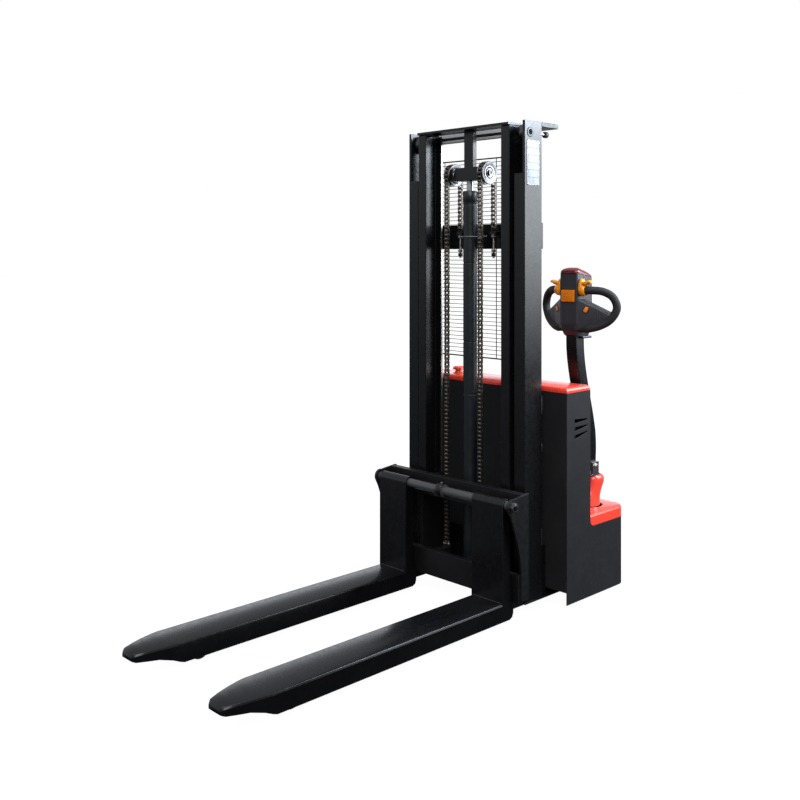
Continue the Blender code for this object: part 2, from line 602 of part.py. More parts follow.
def make_forks():
    """Forks: hollow tapered blade, upright shank and the sleeve that hangs on the shaft."""
    half = FORK_WIDTH / 2
    front = -(SHANK_LEAD + SHANK_THICK)
    rise = FORK_TOP - FORK_BOTTOM
    stations = [   # distance behind the tip, width share, underside share, top share
        (0.000, 0.34, 0.56, 0.74), (0.004, 0.43, 0.52, 0.82), (0.013, 0.54, 0.48, 0.90),
        (0.048, 0.70, 0.45, 0.95),
        (0.083, 0.82, 0.415, 0.98), (0.127, 0.95, 0.24, 1.0), (TAPER_LENGTH, 1.0, 0.08, 1.0),
        (TAPER_LENGTH + 0.016, 1.0, 0.0, 1.0)]
    for name, side in both_sides():
        middle = side * FORK_CENTRE
        rings = [blade_ring(middle, -FORK_TIP + away, half * wide, FORK_BOTTOM + rise * low,
                            FORK_BOTTOM + rise * high) for away, wide, low, high in stations]
        heel = ((-HEEL_LEAD - 0.020, 0.0), (-HEEL_LEAD - 0.006, 0.1), (-HEEL_LEAD, 0.33))
        rings += [blade_ring(middle, y, half, FORK_BOTTOM + rise * low, FORK_TOP) for y, low in heel]
        shank = box((middle - half, front, FORK_TOP - 0.012), (middle + half, -SHANK_LEAD, SHAFT_Z))
        foot = box((middle - half, -SHANK_LEAD - 0.010, FORK_TOP - 0.012),
                   (middle + half, -HEEL_LEAD, FORK_TOP + 0.030))
        sleeve = rod("X", (SHAFT_Y, SHAFT_Z), SHAFT_RADIUS + SLEEVE_WALL, middle - half, middle + half)
        cuts = [box((middle - half + FORK_WALL, -FORK_TIP + TAPER_LENGTH + 0.030, 0),
                    (middle + half - FORK_WALL, 0, FORK_TOP - FORK_WALL)),
                rod("X", (SHAFT_Y, SHAFT_Z), SHAFT_RADIUS + GAP, middle - half - 0.01,
                    middle + half + 0.01)]
        add("fork_" + name, solid([loft(rings), shank, foot, sleeve], cuts), "black_steel")


# ---- chassis covers ---------------------------------------------------------------------
def rear_curve(inset, x_from, x_to, steps):
    """Points along the gently bulging rear edge, from one X to another."""
    points = []
    for i in range(steps + 1):
        x = x_from + (x_to - x_from) * i / steps
        share = x / BODY_HALF
        points.append((x, BODY_BACK - (BODY_BACK - BODY_SIDE_BACK) * share * share - inset))
    return points


def side_outline(inset, front):
    """Right half of the chassis in plan: side, rounded corner, then the rear to X_SEAM."""
    centre = (BODY_HALF - CORNER_RADIUS, BODY_SIDE_BACK + 0.008 - CORNER_RADIUS)
    points = [(BODY_HALF - inset, front)]
    points += arc(centre, CORNER_RADIUS - inset, 0, 78, 8)
    points += rear_curve(inset, BODY_HALF - CORNER_RADIUS - 0.002, X_SEAM, 3)
    return points


def step_space(gap):
    """Space above and behind the step in the side covers, held back by a clearance."""
    half = BODY_HALF + 0.010
    front, low = TOWER_BACK + 0.006 + gap, DECK_BOTTOM + gap
    space = box((-half, front, low), (half, BODY_BACK + 0.1, BODY_TOP + 0.1))
    return bevelled(space, 0.020, lambda p: p.y < front + 0.001 and p.z < low + 0.001, 4)


def make_side_covers():
    """Steel side covers that wrap the rear corners, stepped down behind the tall housing."""
    for name, side in both_sides():
        outer = side_outline(0, BODY_FRONT)
        inner = side_outline(SHEET, BODY_FRONT)
        outline = [(side * x, y) for x, y in outer + inner[::-1]]
        sheet = prism(outline, "Z", BODY_BOTTOM, BODY_TOP)
        cuts = [step_space(0)]
        if side > 0:
            for i in range(3):
                wide_end = BODY_TOP - 0.102 - 0.0305 * i
                narrow_end = BODY_TOP - 0.106 - 0.0238 * i
                slot = [(TOWER_BACK - 0.099, wide_end - 0.015), (TOWER_BACK - 0.015, narrow_end - 0.0055),
                        (TOWER_BACK - 0.015, narrow_end), (TOWER_BACK - 0.097, wide_end)]
                cuts.append(prism(slot, "X", BODY_HALF - 0.02, BODY_HALF + 0.02))
        add("side_cover_" + name, solid([sheet], cuts), "black_steel")


def make_flat_covers():
    """Front cover, operator panel and rear cover."""
    inside = BODY_HALF - SHEET - GAP
    front = box((-inside, BODY_FRONT, FRONT_BOTTOM), (inside, BODY_FRONT + SHEET, BODY_TOP))
    add("front_cover", front, "black_steel")
    panel = box((-inside, TOWER_BACK, DECK_TOP + GAP), (inside, TOWER_BACK + SHEET, BODY_TOP))
    holes = [rod("Y", (KEY_X, KEY_Z), 0.009, TOWER_BACK - 0.01, TOWER_BACK + 0.02, 24)]
    add("operator_panel", solid([panel], holes), "black_steel")
    seam = X_SEAM - GAP
    rear = rear_curve(0, seam, -seam, 6) + rear_curve(SHEET, -seam, seam, 6)
    add("rear_cover", prism(rear, "Z", BODY_BOTTOM, DECK_BOTTOM), "black_steel")


def make_red_covers():
    """Moulded top cover and deck cover, open underneath, with softened upper edges."""
    top = BODY_TOP + COVER_RISE
    back = TOWER_BACK + SHEET
    lid = box((-BODY_HALF, BODY_FRONT, BODY_TOP + GAP), (BODY_HALF, back, top))
    lid = bevelled(lid, COVER_BEVEL, lambda p: p.z > top - 0.001, 3)
    wall = SHEET
    hollow = box((-BODY_HALF + wall, BODY_FRONT + wall, BODY_TOP - 0.01),
                 (BODY_HALF - wall, back - wall, top - COVER_BEVEL))
    stem = rod("Z", (KNOB_X, KNOB_BACK), 0.0085, BODY_TOP - 0.02, top + 0.02, 24)
    add("top_cover", solid([lid], [hollow, stem]), "red_cover")
    front = TOWER_BACK + 0.006

    def plan(inset):
        right = side_outline(inset, front + inset) + rear_curve(inset, X_SEAM - 0.06, 0, 3)
        return right + [(-x, y) for x, y in right[::-1][1:]]
    deck = prism(plan(0), "Z", DECK_BOTTOM + GAP, DECK_TOP)
    deck = bevelled(deck, 0.010, lambda p: p.z > DECK_TOP - 0.001, 2)
    under = prism(plan(0.006), "Z", DECK_BOTTOM - 0.01, DECK_TOP - 0.012)
    well = rod("Z", (STEER_X, STEER_BACK), 0.058, DECK_BOTTOM, DECK_TOP + 0.02)
    add("deck_cover", solid([deck], [under, well], [step_space(GAP)]), "red_cover")


def make_controls():
    """Emergency switch knob on the top cover and key switch on the operator panel."""
    top = BODY_TOP + COVER_RISE
    knob = [(0.008, BODY_TOP - 0.012), (0.008, top + KNOB_TRAVEL + GAP),
            (0.015, top + KNOB_TRAVEL + GAP), (0.015, top + 0.016), (0.024, top + 0.016),
            (0.0255, top + 0.021), (0.024, top + 0.027), (0.016, top + 0.031)]
    add("stop_knob", turned(knob, KNOB_X, KNOB_BACK, 28), "red_cover",
        (KNOB_X, KNOB_BACK, top))
    face = TOWER_BACK + SHEET + GAP
    barrel = rod("Y", (KEY_X, KEY_Z), 0.0085, TOWER_BACK - 0.020, face + 0.004, 24)
    head = rod("Y", (KEY_X, KEY_Z), 0.014, face, face + 0.008, 24)
    blade = box((KEY_X - 0.0015, face + 0.006, KEY_Z - 0.012), (KEY_X + 0.0015, face + 0.034, KEY_Z + 0.012))
    add("key_switch", solid([barrel, head, blade]), "black_plastic", (KEY_X, face, KEY_Z))


def make_power_pack():
    """Batteries, hydraulic unit and motor controller inside the chassis."""
    front = BODY_FRONT + SHEET + 0.010
    top = FLOOR_TOP + BATTERY_HEIGHT
    for name, side in both_sides():
        low, high = (BATTERY_SHIFT + v for v in span(side, 0.004, 0.004 + BATTERY_WIDTH))
        case = box((low, front, FLOOR_TOP + GAP), (high, front + BATTERY_DEPTH, top))
        posts = [rod("Z", (x, front + 0.030), 0.009, top - 0.01, top + 0.016, 16)
                 for x in (low + 0.040, high - 0.040)]
        add("battery_" + name, solid([case, *posts]), "grey_casing")
    base = SHELF_TOP + GAP
    motor_y = front + 0.058
    motor = rod("Z", (-0.210, motor_y), 0.054, base + 0.06, base + 0.260, 32)
    block = box((-0.270, front, base), (-0.150, front + 0.110, base + 0.062))
    tank = box((-0.1505, front, base), (0.100, front + 0.110, base + 0.330))
    add("hydraulic_unit", solid([motor, block, tank]), "grey_casing")
    controller = box((0.140, TOWER_BACK - 0.062, 0.520), (0.320, TOWER_BACK - GAP, 0.700))
    fins = [box((x, TOWER_BACK - 0.070, 0.530), (x + 0.010, TOWER_BACK - 0.060, 0.690))
            for x in (0.150 + 0.032 * i for i in range(5))]
    add("motor_controller", solid([controller, *fins]), "grey_casing")


# ---- drive, steering and caster -----------------------------------------------------------
def make_drive():
    """Steered drive: gearbox that holds the wheel, motor above the plate, and the wheel."""
    x, y = STEER_X, STEER_BACK
    plate_low = MOUNT_TOP - MOUNT_THICK
    wheel_low = x - DRIVE_WIDTH / 2
    cheek = wheel_low - 0.004
    shapes = [box((cheek - 0.026, y - 0.038, DRIVE_RADIUS - 0.038), (cheek, y + 0.038, 0.204)),
              box((cheek - 0.026, y - 0.045, 0.1945), (x + 0.045, y + 0.045, plate_low - 0.006)),
              rod("Z", (x, y), 0.044, plate_low - 0.010, MOUNT_TOP + 0.012),
              rod("X", (y, DRIVE_RADIUS), 0.012, cheek - 0.004, x + DRIVE_WIDTH / 2 + 0.004, 24)]
    add("drive_gearbox", solid(shapes), "grey_casing")
    motor = turned([(0.052, MOUNT_TOP + 0.0123), (0.052, 0.320), (0.040, 0.330), (0.030, 0.344)], x, y)
    add("drive_motor", motor, "black_steel")
    wheel = ring_wheel(x, y, DRIVE_RADIUS, DRIVE_RADIUS, DRIVE_WIDTH, 0.0123)
    add("drive_wheel", wheel, "wheel_tread", (x, y, DRIVE_RADIUS))


def make_steering_head():
    """Red fairing over the steering column and the fork-shaped bracket for the tiller pin."""
    x, y = STEER_X, STEER_BACK
    rings = []
    for share, radius, back in ((0, 0.048, 0), (0.25, 0.046, 0.006), (0.55, 0.046, 0.018),
                                (0.8, 0.048, 0.028), (0.95, 0.042, 0.028), (1.0, 0.033, 0.025)):
        z = 0.3443 + (TILLER_Z - 0.038 - 0.3443) * share
        rings.append([(x + a, y + back + b, z) for a, b in circle((0, 0), radius, 28)])
    add("steering_fairing", loft(rings), "red_cover")
    low, ear = TILLER_Z - 0.0377, TILLER_SIZE / 2 + 0.001
    plate = box((x - 0.037, y - 0.028, low), (x + 0.037, y + 0.030, low + 0.006))
    ears = [box((x + (ear if s > 0 else -0.037), y - 0.020, low + 0.003),
                (x + (0.037 if s > 0 else -ear), y + 0.022, TILLER_Z + 0.016)) for s in (-1, 1)]
    pin = rod("X", (y, TILLER_Z), 0.007, x - 0.036, x + 0.036, 20)
    add("tiller_bracket", solid([plate, *ears, pin]), "bright_steel")


def tiller_back(z):
    """Distance of the tiller's centreline behind the mast plane at a height."""
    share = min(max((z - 0.550) / (1.010 - 0.550), 0.0), 1.0)
    return STEER_BACK - TILLER_LEAN * share * share * (3 - 2 * share)


def make_tiller():
    """Curved tiller arm of rectangular tube with its pivot eye."""
    half = TILLER_SIZE / 2
    stations = 16
    low, high = TILLER_Z - 0.020, HEAD_BOTTOM - GAP
    rings = []
    for i in range(stations + 1):
        z = low + (high - low) * i / stations
        y = tiller_back(z)
        share = min(max((z - 0.520) / 0.120, 0.0), 1.0)
        depth = (TILLER_FOOT_DEPTH + (TILLER_DEPTH - TILLER_FOOT_DEPTH) * share) / 2
        ring = [(-half, -depth + 0.008), (-half + 0.008, -depth), (half - 0.008, -depth),
                (half, -depth + 0.008), (half, depth - 0.008), (half - 0.008, depth),
                (-half + 0.008, depth), (-half, depth - 0.008)]
        rings.append([(STEER_X + a, y + b, z) for a, b in ring])
    hole = rod("X", (STEER_BACK, TILLER_Z), 0.0073, STEER_X - 0.05, STEER_X + 0.05, 20)
    add("tiller_arm", solid([loft(rings)], [hole]), "black_steel",
        (STEER_X, STEER_BACK, TILLER_Z))


def grip_path(side, depth):
    """Centreline of a grip loop from its sockets in the head, round, and back in below."""
    top, bottom = HEAD_BOTTOM + GRIP_RISE, HEAD_BOTTOM + 0.030
    start = HEAD_HALF - depth
    reach = GRIP_REACH
    outline = [(start, top), (LEVER_RUN, top), (0.50 * reach, top), (0.72 * reach, top - 0.004),
               (0.905 * reach, top - 0.022), (reach, top - 0.055), (0.98 * reach, top - 0.085),
               (0.85 * reach, top - 0.118), (0.64 * reach, bottom + 0.012),
               (0.43 * reach, bottom + 0.002), (start, bottom)]
    corners = [(x, z, WING_SWEEP * max(x - LEVER_RUN, 0.0)) for x, z in outline]
    steps = 3
    path = []
    for i in range(len(corners) - 1):
        a, b, c, d = (corners[max(i - 1, 0)], corners[i], corners[i + 1],
                      corners[min(i + 2, len(corners) - 1)])
        for k in range(steps):
            t = k / steps
            point = [0.5 * (2 * b[n] + (c[n] - a[n]) * t + (2 * a[n] - 5 * b[n] + 4 * c[n] - d[n]) * t * t
                            + (3 * b[n] - a[n] - 3 * c[n] + d[n]) * t ** 3) for n in range(3)]
            path.append(point)
    path.append(corners[-1])
    return [(STEER_X + side * x, GRIP_BACK + back, z) for x, z, back in path]


def swept(mesh):
    """Set a mesh back in proportion to its distance outwards from the side of the head."""
    for vertex in mesh.verts:
        vertex.co.y += WING_SWEEP * (abs(vertex.co.x - STEER_X) - HEAD_HALF)
    return mesh


def make_tiller_head():
    """Head casing with ribbed wings, red cap, grip loops, thumb levers and buttons."""
    x = STEER_X
    front, back = HEAD_BACK - HEAD_DEPTH / 2, HEAD_BACK + HEAD_DEPTH / 2
    column = box((x - HEAD_HALF, front, HEAD_BOTTOM), (x + HEAD_HALF, back, HEAD_TOP))
    column = bevelled(column, 0.006, lambda p: True, 1)
    shapes, cuts = [column], []
    for _, side in both_sides():
        wing = [(x + side * a, HEAD_BOTTOM + b) for a, b in
                ((0.030, 0.030), (0.060, 0.034), (0.115, 0.049), (0.152, 0.070), (0.158, 0.085),
                 (0.030, 0.156))]
        shapes.append(swept(prism(wing, "Y", WING_FRONT, WING_FRONT + WING_THICK)))
        cuts.append(tube_along(grip_path(side, 0.005), GRIP_RADIUS + 2 * GAP))
    wide, tall = BUTTON_HALF + 0.0005, 0.024
    cuts.append(box((x - wide, front - 0.01, BUTTON_Z - tall), (x + wide, front + 0.012, BUTTON_Z + tall)))
    finger_z = HEAD_BOTTOM + FINGER_RISE
    for side in (-1, 1):
        middle = x + side * FINGER_OUT
        cuts.append(swept(box((middle - 0.007, WING_FRONT - 0.01, finger_z - 0.011),
                              (middle + 0.007, WING_FRONT + 0.008, finger_z + 0.011))))
    add("head_casing", solid(shapes, cuts), "charcoal_plastic")
    for name, side in both_sides():
        add("grip_" + name, tube_along(grip_path(side, 0.003), GRIP_RADIUS), "black_plastic")
        middle = x + side * FINGER_OUT
        push = box((middle - 0.0065, WING_FRONT - 0.003, finger_z - 0.0105),
                   (middle + 0.0065, WING_FRONT + 0.0042, finger_z + 0.0105))
        add(("lift_button", "lower_button")[side > 0], swept(push), "amber_plastic")
    rings = []
    corner = 0.35
    for rise, share in ((0, 1.0), (0.010, 0.97), (0.017, 0.86), (0.021, 0.62), (0.023, 0.30)):
        half, deep = (HEAD_HALF + 0.001) * share, (HEAD_DEPTH / 2 + 0.001) * share
        outline = [(-half, -deep * corner), (-half * corner, -deep), (half * corner, -deep),
                   (half, -deep * corner), (half, deep * corner), (half * corner, deep),
                   (-half * corner, deep), (-half, deep * corner)]
        rings.append([(x + a, HEAD_BACK + b, HEAD_TOP + GAP + rise) for a, b in outline])
    add("head_cap", loft(rings), "red_cover")
    button = box((x - BUTTON_HALF, front - 0.006, BUTTON_Z - 0.0235),
                 (x + BUTTON_HALF, front + 0.006, BUTTON_Z + 0.0235))
    add("belly_button", bevelled(button, 0.003, lambda p: p.y < front, 1), "amber_plastic")


def make_levers():
    """Butterfly thumb levers: collars that turn about the grip roots, with outward tabs."""
    y, z = GRIP_BACK, HEAD_BOTTOM + GRIP_RISE
    bore = GRIP_RADIUS + 0.0012
    rim = bore + 0.005
    for name, side in both_sides():
        base = HEAD_HALF + GAP
        low, high = (STEER_X + v for v in span(side, base, base + 0.014))
        lobe = arc((y, z), rim + 0.002, 170, 370, 10)
        lobe += [(y + 0.021, z + 0.018), (y + 0.015, z + 0.036), (y + 0.004, z + 0.046),
                 (y - 0.008, z + 0.045), (y - 0.017, z + 0.034), (y - 0.022, z + 0.018)]
        hub = solid([rod("X", (y, z), rim, low, high, 28), prism(lobe, "X", low, high)])
        tab = arc((y, z), rim + 0.013, TAB_FRONT, TAB_BACK, 5) + arc((y, z), rim + 0.001, TAB_BACK, TAB_FRONT, 5)
        tab_low, tab_high = (STEER_X + v for v in span(side, base + 0.004, base + 0.056))
        hole = rod("X", (y, z), bore, low - 0.01, high + 0.01, 28)
        lever = solid([hub, prism(tab, "X", tab_low, tab_high)], [hole])
        add("thumb_lever_" + name, lever, "amber_plastic", (STEER_X + side * base, y, z))


def make_caster():
    """Stabilising caster on the side away from the drive: fork and wheel."""
    x, y = CASTER_X, STEER_BACK
    top = MOUNT_TOP - MOUNT_THICK - GAP
    half = CASTER_WIDTH / 2 + 0.002
    wheel_y = y + CASTER_TRAIL
    shapes = [rod("Z", (x, y), 0.034, top - 0.014, top),
              box((x - half - 0.005, y - 0.030, CASTER_RADIUS * 2 + 0.006),
                  (x + half + 0.005, wheel_y + 0.018, top - 0.010)),
              rod("X", (wheel_y, CASTER_RADIUS), 0.008, x - half - 0.007, x + half + 0.007, 20)]
    for side in (-1, 1):
        low = x + half if side > 0 else x - half - 0.005
        ear = [(wheel_y - 0.016, CASTER_RADIUS - 0.016), (wheel_y + 0.016, CASTER_RADIUS - 0.016),
               (wheel_y + 0.018, CASTER_RADIUS * 2 + 0.010), (y - 0.030, CASTER_RADIUS * 2 + 0.010)]
        shapes.append(prism(ear, "X", low, low + 0.005))
    add("caster_fork", solid(shapes), "bright_steel", (x, y, top))
    wheel = ring_wheel(x, wheel_y, CASTER_RADIUS, CASTER_RADIUS, CASTER_WIDTH, 0.0083)
    add("caster_wheel", wheel, "wheel_tread", (x, wheel_y, CASTER_RADIUS))


def main():
    """Clear the scene and build every part."""
    for old in list(bpy.data.objects):
        bpy.data.objects.remove(old, do_unlink=True)
    for make in (make_base_frame, make_legs, make_load_wheels, make_outer_mast, make_mesh_guard,
                 make_cylinder, make_inner_mast, make_pulleys, make_chains, make_carriage, make_shaft,
                 make_forks, make_side_covers, make_flat_covers, make_red_covers, make_controls,
                 make_power_pack, make_drive, make_steering_head, make_tiller, make_tiller_head,
                 make_levers, make_caster):
        make()


main()
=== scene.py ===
"""Walkie stacker: the visual model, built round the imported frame.

Every piece is placed from the CAD nodes' boxes. The mast frame has its origin on the floor, in the middle
of the mast's front plane, with X across the truck, Y towards the operator and Z up. Lengths are in metres.
"""
from __future__ import annotations

import json
import logging
import math
from dataclasses import dataclass, field
from enum import Enum
from typing import Iterable, Sequence

import bmesh
import bpy
import numpy as np
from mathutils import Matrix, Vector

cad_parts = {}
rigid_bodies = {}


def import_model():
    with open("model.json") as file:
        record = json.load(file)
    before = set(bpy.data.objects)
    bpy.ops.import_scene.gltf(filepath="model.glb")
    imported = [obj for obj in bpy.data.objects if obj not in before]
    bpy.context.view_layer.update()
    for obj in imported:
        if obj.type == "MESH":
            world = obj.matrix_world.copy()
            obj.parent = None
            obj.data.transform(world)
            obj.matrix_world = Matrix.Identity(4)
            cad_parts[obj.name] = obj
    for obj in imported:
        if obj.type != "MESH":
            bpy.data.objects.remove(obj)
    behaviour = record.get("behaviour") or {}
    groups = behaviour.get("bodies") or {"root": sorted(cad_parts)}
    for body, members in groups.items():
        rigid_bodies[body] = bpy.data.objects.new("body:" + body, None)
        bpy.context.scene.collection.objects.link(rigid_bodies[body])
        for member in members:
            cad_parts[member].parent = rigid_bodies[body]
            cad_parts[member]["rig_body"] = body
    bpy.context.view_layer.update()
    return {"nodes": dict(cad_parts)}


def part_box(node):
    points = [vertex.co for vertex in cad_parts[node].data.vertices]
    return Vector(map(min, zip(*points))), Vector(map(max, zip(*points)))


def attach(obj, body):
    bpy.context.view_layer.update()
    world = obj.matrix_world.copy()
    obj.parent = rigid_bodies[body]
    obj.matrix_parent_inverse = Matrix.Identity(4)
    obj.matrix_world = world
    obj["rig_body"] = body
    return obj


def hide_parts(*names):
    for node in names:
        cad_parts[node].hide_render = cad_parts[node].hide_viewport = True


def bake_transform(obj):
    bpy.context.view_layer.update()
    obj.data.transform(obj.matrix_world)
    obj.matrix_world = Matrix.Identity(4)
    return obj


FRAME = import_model()
LOG = logging.getLogger("stacker")
Array = np.ndarray


class Axis(Enum):
    """The axis that a shape is turned about or extruded along, by its column."""

    X = 0
    Y = 1
    Z = 2


class Side(Enum):
    """The left (-X) and right (+X) copies of a piece."""

    LEFT = -1
    RIGHT = 1

    @property
    def word(self) -> str:
        """The ending of the CAD names on this side."""
        return self.name.lower()


# ---- surfaces -----------------------------------------------------------------------------
@dataclass(frozen=True)
class Skin:
    """One closed surface: its points, and its faces as tuples of point numbers."""

    points: Array
    faces: tuple[tuple[int, ...], ...]

    def moved(self, offset: Sequence[float]) -> "Skin":
        """The same surface, shifted."""
        return Skin(self.points + np.asarray(offset, float), self.faces)

    def outward(self) -> "Skin":
        """The same surface with its faces turned outwards.

        Returns:
            The skin whose signed volume, the sum of its fans' triple products over six, is positive.
        """
        total = 0.0
        by_size: dict[int, list[tuple[int, ...]]] = {}
        for face in self.faces:
            by_size.setdefault(len(face), []).append(face)
        for size, group in by_size.items():
            corners = self.points[np.array(group)]
            for k in range(1, size - 1):
                cross = np.cross(corners[:, k], corners[:, k + 1])
                total += float(np.einsum("ij,ij->", corners[:, 0], cross))
        if total >= 0:
            return self
        return Skin(self.points, tuple(face[::-1] for face in self.faces))


def loft(rings: Array, closed: bool = False) -> Skin:
    """A surface through rings of equal point counts.

    Point (i, j) is joined to (i, j + 1), (i + 1, j + 1) and (i + 1, j), with j going round.

    Args:
        rings: an array of rings by points by three.
        closed: True joins the last ring to the first, and False caps both ends flat.

    Returns:
        The closed skin.
    """
    count, size = rings.shape[:2]
    rows = np.arange(count if closed else count - 1)[:, None]
    near = np.arange(size)[None, :]
    far = (near + 1) % size
    above = (rows + 1) % count
    quads = np.stack([rows * size + near, rows * size + far, above * size + far, above * size + near], -1)
    faces = [tuple(int(v) for v in quad) for quad in quads.reshape(-1, 4)]
    if not closed:
        faces.append(tuple(range(size))[::-1])
        faces.append(tuple(range((count - 1) * size, count * size)))
    return Skin(rings.reshape(-1, 3), tuple(faces)).outward()


def lathe(profile: Sequence[tuple[float, float]], centre: Sequence[float], axis: Axis, sides: int = 48,
          closed: bool = False) -> Skin:
    """Turn a profile about an axis: a point is centre + radius (cos a, sin a) across and height along.

    Args:
        profile: (radius, height) pairs in order.
        centre: the point where height is zero.
        axis: the axis of the turning.
        sides: how many points go round.
        closed: True for a ring whose profile comes back to its start.

    Returns:
        The closed skin.
    """
    angle = np.arange(sides) * 2 * np.pi / sides
    radius, height = np.array(profile, float).T
    across = radius[:, None] * np.cos(angle)
    side = radius[:, None] * np.sin(angle)
    along = np.broadcast_to(height[:, None], across.shape)
    rings = np.stack([across, side, along], -1)
    turned = np.empty_like(rings)
    columns = {Axis.X: (1, 2, 0), Axis.Y: (2, 0, 1), Axis.Z: (0, 1, 2)}[axis]
    for source, target in enumerate(columns):
        turned[..., target] = rings[..., source]
    return loft(turned + np.asarray(centre, float), closed)


def plate(outline: Array, axis: Axis, low: float, high: float, edge: float = 0.0, steps: int = 3) -> Skin:
    """Extrude an outline, with its rims rounded by quarter circles.

    A rim ring at angle a is inset by edge (1 - sin a) along the outline's normals, edge (1 - cos a) in.

    Args:
        outline: points whose two columns are the other coordinates, in the order X, Y, Z.
        axis: the axis of the extrusion.
        low: where it starts on that axis.
        high: where it ends.
        edge: the radius of the rims.
        steps: how many rings each rim has.

    Returns:
        The closed skin.
    """
    points = np.asarray(outline, float)
    tangent = np.roll(points, -1, 0) - np.roll(points, 1, 0)
    tangent /= np.maximum(np.linalg.norm(tangent, axis=1, keepdims=True), 1e-9)
    area = np.sum(points[:, 0] * np.roll(points[:, 1], -1) - points[:, 1] * np.roll(points[:, 0], -1))
    inward = np.stack([-tangent[:, 1], tangent[:, 0]], 1) * np.sign(area)
    if edge > 0:
        angle = np.linspace(0, np.pi / 2, steps + 1)
        inset = np.concatenate([edge * (1 - np.sin(angle)), edge * (1 - np.sin(angle[::-1]))])
        height = np.concatenate([low + edge * (1 - np.cos(angle)), high - edge * (1 - np.cos(angle[::-1]))])
    else:
        inset, height = np.zeros(2), np.array([low, high])
    flat = points[None] + inward[None] * inset[:, None, None]
    level = np.broadcast_to(height[:, None], flat.shape[:2])
    return loft(np.insert(flat, axis.value, level, axis=2))


def rounded_rect(half_a: float, half_b: float, radius: float, steps: int = 4,
                 centre: tuple[float, float] = (0.0, 0.0)) -> Array:
    """Outline of a rectangle with quarter-circle corners.

    Args:
        half_a: half its size along the first coordinate.
        half_b: half its size along the second.
        radius: the radius of the corners.
        steps: how many steps each corner has.
        centre: its middle.

    Returns:
        The outline's points, anticlockwise.
    """
    angle = np.linspace(0, np.pi / 2, steps + 1)
    signs = ((1, 1), (-1, 1), (-1, -1), (1, -1))
    parts = []
    for quarter, (a, b) in enumerate(signs):
        turn = angle + quarter * np.pi / 2
        parts.append(np.stack([centre[0] + a * (half_a - radius) + radius * np.cos(turn),
                               centre[1] + b * (half_b - radius) + radius * np.sin(turn)], 1))
    return np.concatenate(parts)


def block(low: Sequence[float], high: Sequence[float], edge: float, axis: Axis = Axis.Z,
          corner: float | None = None, steps: int = 3) -> Skin:
    """A block between two corners with rounded rims, and rounded corners about one axis.

    Args:
        low: the corner with the least x, y and z.
        high: the opposite corner.
        edge: the width of the rims' rounding.
        axis: the axis that the corners are rounded about.
        corner: the corners' radius.
        steps: how many facets a corner has.

    Returns:
        The block's skin.
    """
    low, high = np.asarray(low, float), np.asarray(high, float)
    others = [i for i in range(3) if i != axis.value]
    half = (high - low)[others] / 2
    outline = rounded_rect(half[0], half[1], edge if corner is None else corner, steps,
                           tuple((low + high)[others] / 2))
    return plate(outline, axis, float(low[axis.value]), float(high[axis.value]), edge, steps)


def sweep(path: Array, section: Array, up: Sequence[float] = (0, 1, 0), closed: bool = False) -> Skin:
    """Carry a section along a path: each ring is path + a side + b over, square to the path.

    Args:
        path: the points of the centreline.
        section: (a, b) pairs, or one set of them per path point.
        up: a direction never parallel to the path.
        closed: True for a path that comes back to its start.

    Returns:
        The closed skin.
    """
    path = np.asarray(path, float)
    if closed:
        along = np.roll(path, -1, 0) - np.roll(path, 1, 0)
    else:
        along = np.gradient(path, axis=0)
    along /= np.linalg.norm(along, axis=1, keepdims=True)
    side = np.cross(along, np.asarray(up, float))
    side /= np.linalg.norm(side, axis=1, keepdims=True)
    over = np.cross(side, along)
    section = np.broadcast_to(section, (len(path),) + np.shape(section)[-2:])
    rings = path[:, None] + section[..., :1] * side[:, None] + section[..., 1:] * over[:, None]
    return loft(rings, closed)


def round_section(radius: float, sides: int) -> Array:
    """Points of a circle, for a swept bar."""
    angle = np.arange(sides) * 2 * np.pi / sides
    return radius * np.stack([np.cos(angle), np.sin(angle)], 1)


def smooth_path(corners: Sequence[Sequence[float]], steps: int) -> Array:
    """A Catmull-Rom curve through the corners.

    Between corners b and c, with a before and d after, the point at t is half of
    2b + (c - a) t + (2a - 5b + 4c - d) t^2 + (3b - a - 3c + d) t^3.

    Args:
        corners: the points to pass through.
        steps: how many points each stretch gets.

    Returns:
        The curve's points, the last corner included.
    """
    points = np.asarray(corners, float)
    padded = np.concatenate([points[:1], points, points[-1:]])
    a, b, c, d = padded[:-3, None], padded[1:-2, None], padded[2:-1, None], padded[3:, None]
    t = (np.arange(steps) / steps)[None, :, None]
    curve = 0.5 * (2 * b + (c - a) * t + (2 * a - 5 * b + 4 * c - d) * t ** 2
                   + (3 * b - a - 3 * c + d) * t ** 3)
    return np.concatenate([curve.reshape(-1, points.shape[1]), points[-1:]])


# ---- finishes ------------------------------------------------------------------------------
Colour = tuple[float, float, float]


